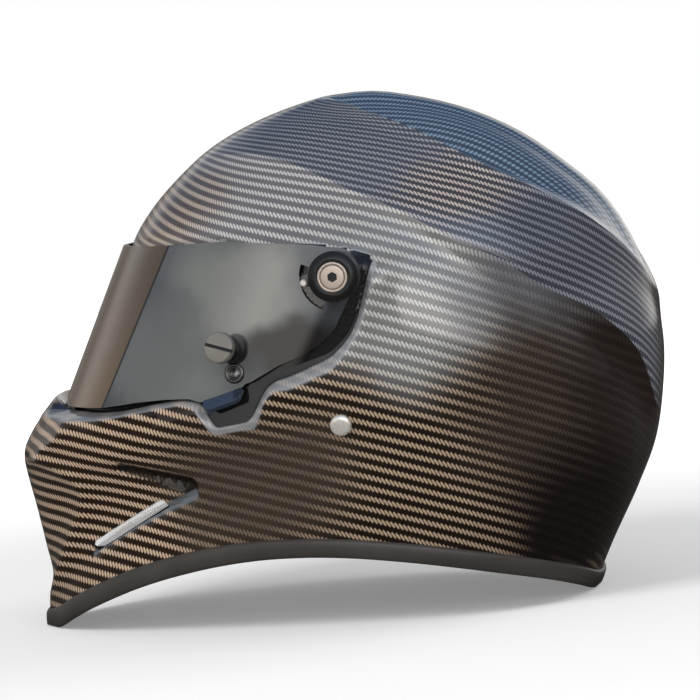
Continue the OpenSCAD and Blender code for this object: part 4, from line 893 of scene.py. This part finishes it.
def visor():
    top = [(-170, 199), (-44, 201), (-22.7, 199.1), (-6, 197.4), (2, 196.4)]
    end = arc((PIVOT_Y, PIVOT_Z + 1), 13.4, 75, -58, 20)
    low = [(12, 153.5), (5, 147.5), (-4, 142), (-18, 137.5), (-33.3, 130), (-66, 126.2),
           (-77.5, 123.8), (-95, 122.5), (-117, 119.7), (-170, 118.5)]
    lug = [(-26, 141), (-37, 128), (-60, 121.5), (-66, 123.6), (-90, 123.7), (-80, 141)]
    obj = cut(tube("visor_dressed", VISOR_R, VISOR_R - VISOR_T),
              cut(prism("outline", rounded(top + end + low), -160, 160, SIDEWAYS, True, M["visor"]),
                  prism("lug", rounded(lug), 60, 160, SIDEWAYS, True, M["visor"]), "UNION"), "INTERSECT")
    hole = arc((0, 0), 5.15, 270, -84, 60)
    slot = arc((0, 0), 17.7, 336, 246, 31) + arc((0, 0), 13.5, 246, 336, 31)
    for left in (True, False):
        for shape in (hole, slot):
            cut(obj, prism("cutter", shape, 0, 20, at_pivot(PIVOT_X - 10), left, M["visor"]))
    for where, d in ((KNOB, 5.2), (EYELET, 8.0)):
        cut(obj, lathe("cutter", [(0, -10), (d / 2, -10), (d / 2, 10), (0, 10)], where, M["visor"],
                       steps=48, round_off=0))
    tube_normals(obj)
    dress(obj, "visor", "visor_lens")
    plate = rounded([(-0.5, -12), (8.5, -9.5), (8.5, 9.5), (-0.5, 12)], 3, 6)
    tab = bevel(prism("lift_tab", plate, -VISOR_T / 2, VISOR_T / 2, TAB, True, M["tab"]), 0.5)
    cut(tab, tube("rod", VISOR_R - VISOR_T / 2, 0))
    dress(tab, "visor")


visor()


# Turned fittings
def dark_cut(obj, cutter):
    """Cuts a socket whose faces are black."""
    for piece in (obj, cutter):
        piece.data.materials.append(M["black_plastic"])
    cutter.data.polygons.foreach_set("material_index", [1] * len(cutter.data.polygons))
    cut(obj, cutter)


def fittings():
    hexagon = arc((0, 0), 2.65, 0, 300, 6)
    turned = {
        "pivot_cap": ([(5.2, 0), (12.65, 0), (12.65, 5.2), (12.3, 5.9), (10.2, 7.5), (9.4, 7.7), (7.8, 7.7),
                       (7.8, 5.0), (5.2, 5.0)], at_pivot(CAP_X), "black_metal", "black_metal"),
        "cup_washer": ([(2.8, 0), (7.6, 0), (7.6, 2.7), (7.1, 3.0), (6.35, 2.9), (6.2, 2.2), (6.2, 0.7),
                        (2.8, 0.7)], at_pivot(CAP_X + CAP_T - 2.6), "plated", "steel"),
        "pivot_screw": ([(0, -20), (2.5, -20), (2.5, 0), (6, 0), (6, 1.7), (5.6, 2.1), (0, 2.2)],
                        at_pivot(CAP_X + CAP_T - 1.8), "plated", "steel"),
        "strap_rivet": ([(0, -16), (2.4, -16), (2.4, 0.5), (5.4, 0.5), (5.4, 1.6), (5.1, 2.2), (4.4, 2.7),
                         (3.2, 3.0), (0, 3.1)], RIVET, "bright", "bright_metal")}
    for left, side in ((True, "left"), (False, "right")):
        for name, (profile, at, mat, slot) in turned.items():
            obj = lathe(f"{name}_dressed_{side}", profile, at, M[mat], left)
            if name == "pivot_screw":
                dark_cut(obj, prism("cutter", hexagon, 0.3, 5, at, left, M["black_plastic"]))
            dress(obj, "helmet", f"{name}_{side}")
    knob = lathe("knob_screw_dressed", [(0, -2.45), (2.5, -2.45), (2.5, 7.5), (7.5, 7.5), (8, 8.0),
                 (8, 10.6), (7.4, 11.4), (0, 11.5)], KNOB, M["bronze"], round_off=0.2)
    slit = [(-9, -0.85), (9, -0.85), (9, 0.85), (-9, 0.85)]
    dark_cut(knob, prism("cutter", slit, 10.2, 12.8, KNOB @ turn("Z", 98), True, M["black_plastic"]))
    dress(knob, "visor", "knob_screw")
    sleeve = lathe("knob_sleeve_dressed", [(2.7, 0.2), (5.6, 0.2), (6.6, 0.9), (7.0, 1.8), (7.0, 6.2),
                   (6.7, 7.4), (2.7, 7.4)], KNOB, M["black_plastic"])
    dress(sleeve, "visor", "knob_sleeve")
    eye = lathe("lock_eyelet_dressed", [(2.1, -2.4), (3.8, -2.4), (3.8, 0.2), (5.2, 0.2), (5.2, 0.6),
                (4.9, 1.0), (4.3, 1.2), (3.6, 1.1), (3.3, 0.7), (2.9, 0.7), (2.6, 1.0), (2.3, 1.0),
                (2.1, 0.7)], EYELET, M["dark_steel"], round_off=0.12)
    dress(eye, "visor", "lock_eyelet")


fittings()


# Rubber on the lower edge
def trim():
    height, air = 7.3, 0.4
    a = all_round(np.concatenate([np.arange(0, 30, 1.5), np.arange(30, 181, 2.5)]))
    low = edge_th(np.abs(a))
    r_low = shell_r(a, low)
    deg = 57.3 / r_low
    up = low + height * deg
    face = shell_r(a, up)
    lower_in = np.minimum(inner_at(a, low), inner_at(a, low + 3 * deg)) - air
    rings = []
    for share, off in [(1.0, 0.4), (1.0, 1.5), (0.96, 2.1), (0.88, 2.5), (0.5, 2.75), (0.1, 2.7),
                       (-0.22, 2.3), (-0.33, 1.4), (-0.36, 0.4)]:
        t = mix(low, up, share)
        base = mix(r_low, face, np.clip(share, 0, 1))
        rings.append(spot(a, t, base + off))
    for share, off in [(-0.36, 0.0), (-0.33, -1.2), (-0.2, -2.0), (0.1, -2.2), (0.9, -2.2), (1.0, -1.6),
                       (1.0, 0.0)]:
        rings.append(spot(a, mix(low, up, share), lower_in + off))
    rings += [spot(a, low - air * deg, r) for r in (lower_in, r_low + air)]
    p = np.array(rings)
    m, n = p.shape[:2]
    p[..., 2] = np.maximum(p[..., 2], 0)
    obj = make("edge_trim_dressed", p.reshape(-1, 3), grid_faces(m + 1, n) % (m * n), M["rubber"])
    dress(outward(obj, 50), "helmet", "edge_trim")


def inner_at(a, t):
    """Distance of the shell's inner face in each direction."""
    a, t = np.broadcast_arrays(np.asarray(a, float), np.asarray(t, float))
    got = np.empty(a.size)
    for k, (x, y) in enumerate(zip(a.ravel(), t.ravel())):
        i = int(np.clip(np.searchsorted(COLS, x) - 1, 0, len(COLS) - 2))
        f = np.clip((x - COLS[i]) / (COLS[i + 1] - COLS[i]), 0, 1)
        j0, j1 = ORDER[i], ORDER[i + 1]
        got[k] = mix(np.interp(y, th[:, j0], inner[:, j0]), np.interp(y, th[:, j1], inner[:, j1]), f)
    return got.reshape(a.shape)


ORDER = np.argsort(phi[0])
COLS = phi[0][ORDER]
trim()


# Vent mesh
def wires(left):
    """Woven wire set into a chin slot, a little behind the shell's face."""
    length, width, pitch = VENT_L - 0.4, VENT_W + 0.2, 1.4
    r, sides, sunk, swing = 0.27, 5, 0.55, 0.22
    points, faces = [], []
    for way in (1, -1):
        for c in np.arange(-length, length, pitch):
            run = np.array([(c + s, way * s) for s in pitch / 4 * np.arange(-16, 17)])
            x, y = np.abs(run).T
            run = run[(y < width / 2) & (x < length / 2 - np.maximum(0, y - 1))]
            if len(run) <= 2:
                continue
            a, t, _ = directions(carry(AT_VENT, np.pad(run, ((0, 0), (0, 1)))))
            wave = swing * way * np.cos(2 * np.pi * run[:, 0] / pitch)
            world = spot(a, t, np.minimum(base_r(a, t), shell_r(a, t)) - sunk + wave)
            n = spot(a, t, 1.0) - MIDDLE
            f = np.gradient(world, axis=0)
            s = np.cross(f / np.linalg.norm(f, axis=1)[:, None], n)
            start = len(points)
            for k in range(len(run)):
                for w in np.arange(sides) * 2 * math.pi / sides:
                    points.append(world[k] + r * (math.cos(w) * s[k] + math.sin(w) * n[k]))
            faces += [[start + q for q in face] for face in tube_faces(len(run), sides)]
    side = "left" if left else "right"
    p = np.array(points)
    if not left:
        p[:, 0] *= -1
    obj = outward(make("vent_mesh_dressed_" + side, p, faces, M["mesh"]))
    dress(obj, "helmet", "chin_vent_mesh_" + side)


wires(True)
wires(False)


# The strap
STRAP_W, STRAP_T, WIRE = 22.0, 2.0, 3.2


def webbing(name, path, node):
    """A ribbed band along a path of x and z, with thicker woven edges."""
    path = np.array(path)
    way = np.gradient(path, axis=0)
    way /= np.linalg.norm(way, axis=1)[:, None]
    normal = np.stack([-way[:, 1], way[:, 0]], 1)
    across = np.linspace(-1, 1, 45)
    half = STRAP_T / 2 - 0.1 + 0.1 * np.cos(across * 9 * math.pi) + 0.08 * (np.abs(across) > 0.86)
    half[[0, -1]] = 0.55
    ring = [(s * STRAP_W / 2, h) for s, h in zip(across, half)]
    ring += [(s * STRAP_W / 2, -h) for s, h in reversed(list(zip(across, half)))]
    points = [(p[0] + h * q[0], RIVET_Y + s, p[1] + h * q[1])
              for p, q in zip(path, normal) for s, h in ring]
    obj = make(name, points, tube_faces(len(path), len(ring)), M["web"])
    dress(outward(obj, 50), "chin_strap", node)


def straps():
    tilt, reach, drop, hang_low, plate_t = math.radians(10), 13.5, 23, 34, 1.5
    x0 = RIVET_AT[0] - reach * math.cos(tilt)
    bar = RIVET_AT[2] + reach * math.sin(tilt) - drop
    fold = plate_t / 2 + STRAP_T / 2 + 0.4
    loop_x, low = x0 - fold, bar - hang_low

    def hang(x1):
        xs = [x1 + (loop_x - x1) * math.sin(math.radians(90 * u)) for u in np.linspace(1, 0, 60)]
        down = [(x, bar - 1 - (bar - 1 - low) * math.sqrt(1 - min(1, abs(x) / loop_x) ** 4)) for x in xs]
        return [(x0 + fold, bar - 5)] + arc((x0, bar - 0.6), fold, 0, 180) + down

    middle = low + WIRE + STRAP_T / 2 + 0.6
    r = middle - low
    webbing("strap_dressed_left", hang(56) + arc((50, middle), r, -90, -270) + [(67, middle + r)],
            "strap_left")
    webbing("strap_dressed_right", [(-x, z) for x, z in hang(-22)] + arc((28, middle), r, -90, 90)
            + [(8, middle + r + 0.4), (-18, middle + r + 1.5)], "strap_right")


straps()

# The lining
HEAD_W, HEAD_L, HEAD_UP = 77.0, 98.0, 108.0
CROWN_T = 9.0


def head_r(a, t, off):
    """Distance of the head space's wall, grown by off."""
    p, q = np.radians(a), np.radians(t)
    plan = (np.sin(p) / (HEAD_W + off)) ** 2 + (np.cos(p) / (HEAD_L + off)) ** 2
    low = 1 / (np.cos(q) * np.sqrt(plan))
    high = 1 / np.sqrt(np.cos(q) ** 2 * plan + (np.sin(q) / (HEAD_UP + off)) ** 2)
    return np.where(t < 0, low, high)


def wrap(a):
    return (a + 180) % 360 - 180


def chin_th(a, share):
    """Elevation at a share of the way from the lower edge to the lip."""
    b, left = np.abs(a), a > 0
    lip = np.minimum(lip_th(b, left), lookup(b, LIP_REAR))
    return mix(edge_th(b), lip - lip_w(b) / DEG_MM * np.minimum(2, lip_slant(b, left)), share)


def slab(name, outer, inner, mat):
    """A closed slab between two grids of points."""
    m, n = outer.shape[:2]
    s = m * n
    f = grid_faces(m, n, closed=False)
    faces = f.tolist() + (f[:, ::-1] + s).tolist()
    place = np.arange(s).reshape(m, n)
    rim = [*place[0], *place[1:, -1], *place[-1, -2::-1], *place[-2:0:-1, 0]]
    faces += [[b, a, a + s, b + s] for a, b in zip(rim, rim[1:] + rim[:1])]
    points = np.concatenate([outer.reshape(-1, 3), inner.reshape(-1, 3)])
    return outward(make(name, points, faces, mat))


def pad(name, a0, a1, s0, s1, gap, edge, depth, mat):
    """A pad on the shell's inner face, between plan angles and shares of the way up to the lip."""
    u, v = np.meshgrid(np.linspace(0, 1, 16), np.linspace(0, 1, int(abs(a1 - a0) / 1.6)), indexing="ij")
    a = wrap(mix(a0, a1, v))
    t = chin_th(a, mix(s0, s1, u))
    r = inner_at(a, t) - gap
    thick = edge + (depth - edge) * np.maximum(0, np.sin(np.pi * u) * np.sin(np.pi * v)) ** 0.4
    return slab(name, spot(a, t, r), spot(a, t, r - thick), mat)


def plump(obj, node, limit, seams, cap=3.0, voxel=4.5):
    """Swells a cushion as cloth under pressure, keeps it inside limit and sews its seams."""
    mod = obj.modifiers.new("remesh", "REMESH")
    mod.mode, mod.voxel_size = "VOXEL", voxel * MM
    settle(obj)
    start = points_of(obj.data)
    end = start
    mod = obj.modifiers.new("cloth", "CLOTH")
    mod.settings.use_pressure = True
    mod.settings.uniform_pressure_force = 4.0
    mod.settings.effector_weights.gravity = 0
    for f in range(1, 21):
        bpy.context.scene.frame_set(f)
    puffed = obj.evaluated_get(bpy.context.evaluated_depsgraph_get())
    end = points_of(puffed.to_mesh())
    puffed.to_mesh_clear()
    obj.modifiers.clear()
    bpy.context.scene.frame_set(1)
    way = end - start
    far = np.maximum(np.linalg.norm(way, axis=1), 1e-6)[:, None]
    co = start + way * np.minimum(1, cap / far)
    a, t, r = directions(co)
    r = np.minimum(r + seams(co, a, t, r), limit(a, t))
    obj.data.vertices.foreach_set("co", (spot(a, t, r) * MM).ravel())
    mod = obj.modifiers.new("soft", "SUBSURF")
    mod.levels = mod.render_levels = 1
    settle(obj)
    for f in obj.data.polygons:
        f.use_smooth = True
    dress(obj, "helmet", node)


def seam(d):
    """Depth of a sewn seam at a distance from it."""
    return 2.6 * np.exp(-(d / 2.6) ** 2)


def lining():
    inside = lambda a, t: inner_at(a, t) - 0.6
    for k, side in ((1, "left"), (-1, "right")):
        cheek = pad("cheek_pad_dressed_" + side, 46.0 * k, 66.0 * k, 0.39, 0.89, 1.2, 8, 33, M["cloth"])

        def sewn(co, a, t, r, k=k):
            """A panel seam round the pad, on the side that meets the wearer."""
            u = (np.abs(a) - 56.6) / 9.2
            v = (t - chin_th(np.full(len(a), 56.6 * k), 0.64)) / 12.5
            return np.where(r < inner_at(a, t) - 14, seam((np.hypot(u, v) - 0.72) * 22), 0)

        plump(cheek, "cheek_pad_" + side, inside, sewn)
    roll = pad("neck_roll_dressed", 117, 243, 0.2, 0.51, 1.2, 6, 19, M["cloth"])
    plump(roll, "neck_roll", inside,
          lambda co, a, t, r: np.where(r < inner_at(a, t) - 5, seam(np.abs(np.abs(a) - 148) * 2.6), 0))

    foam = pad("chin_foam_dressed", -40, 40, 0.18, 0.92, 0.6, 6, 16, M["foam"])
    for left in (True, False):
        cut(foam, prism("cutter", stadium(VENT_L + 7, VENT_W + 8), -45, 45, AT_VENT, left, M["foam"]))
    dress(foam, "helmet", "chin_foam")

    gap, air = 0.45, 0.35
    a = all_round(np.arange(0, 181, 2.0))
    brow = lookup(np.abs(a), TOP_LINE)
    low = [mix(chin_th(a, 0.68), brow, s) for s in np.arange(0, 1, 0.1)]
    t = np.array(low + [mix(brow, 90, s) for s in np.arange(0, 0.98, 0.04)])
    ring = np.broadcast_to(a, t.shape)
    face = inner_at(ring, t) - gap
    back = np.minimum(face - 5, head_r(ring, t, CROWN_T + air))
    crown = MID_Z + HEAD_UP + CROWN_T
    liner = make("eps_liner_dressed", *dome_mesh(
        spot(ring, t, face), spot(ring, t, back), [0, MID_Y, MID_Z + top - WALL - gap],
        [0, MID_Y, crown + air], (0, len(low), 54)), M["foam"])
    dress(outward(liner, 40), "helmet", "eps_liner")

    t = np.array([mix(brow + 1.0, 90, s) for s in np.arange(0, 0.98, 0.04)])
    ring = np.broadcast_to(a, t.shape)
    under_liner = lambda a, t: np.minimum(inner_at(a, t) - 6, head_r(a, t, CROWN_T))
    face = under_liner(ring, t) - 1.2
    comfort = outward(make("crown_pad_dressed", *dome_mesh(
        spot(ring, t, face), spot(ring, t, face - 6), [0, MID_Y, crown - 1.2], [0, MID_Y, crown - 7.2]),
        M["cloth"]))

    def panels(co, a, t, r):
        """Two long seams and a cross seam on the side that meets the wearer."""
        near = r < head_r(a, t, CROWN_T) - 3.5
        out, long = np.abs(co[:, 0]), np.abs(co[:, 1] - 12)
        return np.where(near, seam(np.minimum(np.abs(out - 30), long + 60 * (out < 30))), 0)

    plump(comfort, "crown_pad", lambda a, t: under_liner(a, t) - 0.1, panels, 2.5, 4.0)


lining()

# Camera, light and floor
AZ, EL, ROLL, DIST = 96.0, 4.0, 5.0, 2000.0
PX_MM = 1 / 0.54
PHOTO, SENSOR = 700, 36
REST_PX, REST_AT = (62.0, 621.0), (0, -163, 0)


def camera():
    a, e, r = (math.radians(v) for v in (AZ, EL, ROLL))
    back = Vector((math.sin(a) * math.cos(e), -math.cos(a) * math.cos(e), math.sin(e)))
    right = Vector((0, 0, 1)).cross(back).normalized()
    up = back.cross(right)
    right2 = right * math.cos(r) - up * math.sin(r)
    up2 = right * math.sin(r) + up * math.cos(r)
    middle = (Vector(REST_AT) + right2 * ((PHOTO / 2 - REST_PX[0]) / PX_MM)
              + up2 * ((REST_PX[1] - PHOTO / 2) / PX_MM))
    cam = bpy.data.cameras.new("camera")
    cam.sensor_width = SENSOR
    cam.lens = SENSOR * DIST / (PHOTO / PX_MM)
    cam.clip_end = 20
    obj = add_object("camera", cam)
    m = Matrix((right2, up2, back)).transposed().to_4x4()
    m.translation = (middle + back * DIST) * MM
    obj.matrix_world = m
    bpy.context.scene.camera = obj


def lamp(name, size, power, at, to):
    light = bpy.data.lights.new(name, "AREA")
    light.shape, light.size, light.size_y = "RECTANGLE", size[0], size[1]
    light.energy = power
    obj = add_object(name, light)
    obj.location = at
    obj.rotation_euler = (Vector(at) - Vector(to)).to_track_quat("Z", "Y").to_euler()
    obj.visible_glossy = False


def world():
    """White to the camera; shiny surfaces see a hazy horizon, a bluer sky and a dark ground."""
    w = bpy.data.worlds.new("world")
    bpy.context.scene.world = w
    w.use_nodes = True
    n = Nodes(tree=w.node_tree)
    way = n.add("ShaderNodeTexCoord")
    x, y, z = n.split(way)
    shine = n.math("ADD", n.ray("Glossy"), n.ray("Transmission"), True)
    seen = n.math("ADD", n.ray("Camera"), shine, True)
    sky = n.blend(n.step(z, 0.02, 0.6), (1.0, 0.97, 0.93), (0.2, 0.26, 0.36))
    edge = n.step(x, -0.45, -0.85) * n.step(z, 0.35, 0.12)
    for share, paint in ((n.step(x, 0.0, -0.7) * n.step(z, 0.2, 0.45), (0.03, 0.07, 0.15)),
                         (n.step(y, 0.45, 0.8) * n.step(z, 0.55, 0.2) * 0.85, (0.02, 0.018, 0.016)),
                         (n.step(y, -0.6, -0.95) * 0.6, (0.05, 0.06, 0.08)),
                         (edge * n.step(y, 0.15, -0.1, 0.0, 0.9), (0.1, 0.085, 0.075)),
                         (n.step(z, 0.01, -0.04), (0.05, 0.043, 0.036))):
        sky = n.blend(share, sky, paint)
    box = n.add("ShaderNodeVectorMath", 1, {0: way, 1: (0.8, 0.42, 0.43)}, operation="DOT_PRODUCT")
    glow = (n.step(box, 0.72, 0.98, 1.0, 3.4) - 1.0) * shine + 1.0
    back = n.tree.nodes["Background"]
    n.put(back.inputs[0], n.blend(shine, (1, 1, 1), sky))
    n.put(back.inputs[1], n.step(seen, 0.0, 1.0, 0.35, 1.0) * glow)


def floor():
    """A pale floor that keeps the object's shadow; it glows white to camera rays, weakly near the middle
    and fully from 1.2 m out, and is dark to glossy rays as a painted dark ground.
    """
    n = Nodes("floor_paint")
    far = n.add("ShaderNodeVectorMath", 1, {0: n.place()}, operation="LENGTH")
    n.finish(base_color=n.blend(n.ray("Glossy"), (0.88, 0.88, 0.88), (0.06, 0.05, 0.042)), roughness=0.9,
             emission_color=(1, 1, 1),
             emission_strength=n.ray("Camera") * n.step(far, 0.3, 1.2, 0.22, 1.0))
    half, below = 3000, -0.6
    corners = [(half * x, half * y, below) for x, y in ((-1, -1), (1, -1), (1, 1), (-1, 1))]
    make("floor", corners, [(0, 1, 2, 3)], n.mat, False)


NODE_MATS = {
    "eyeport_gasket": "rubber", "knob_nut": "dark_steel", "lock_post": "steel",
    "lock_post_nut": "steel", "d_rings": "steel"}
PAIR_MATS = {
    "pivot_bush": "bush", "detent_plate": "dark_steel", "detent_pin": "bright", "pivot_nut": "steel",
    "rivet_washer": "steel", "strap_anchor": "steel"}
NODE_MATS.update({f"{k}_{s}": v for k, v in PAIR_MATS.items() for s in ("left", "right")})
for name, mat in NODE_MATS.items():
    node = frame["nodes"][name]
    node.data.materials.clear()
    node.data.materials.append(M[mat])

camera()
world()
floor()
lamp("key", (1.2, 1.2), 40, (1.6, -1.4, 1.9), (0, 0, 0.12))
lamp("fill", (1.6, 1.2), 15, (2.2, 0.9, 0.7), (0, 0, 0.12))
lamp("rim", (1.4, 0.8), 10, (-0.6, 1.6, 1.5), (0, 0, 0.15))
bpy.context.scene.view_settings.view_transform = "Standard"
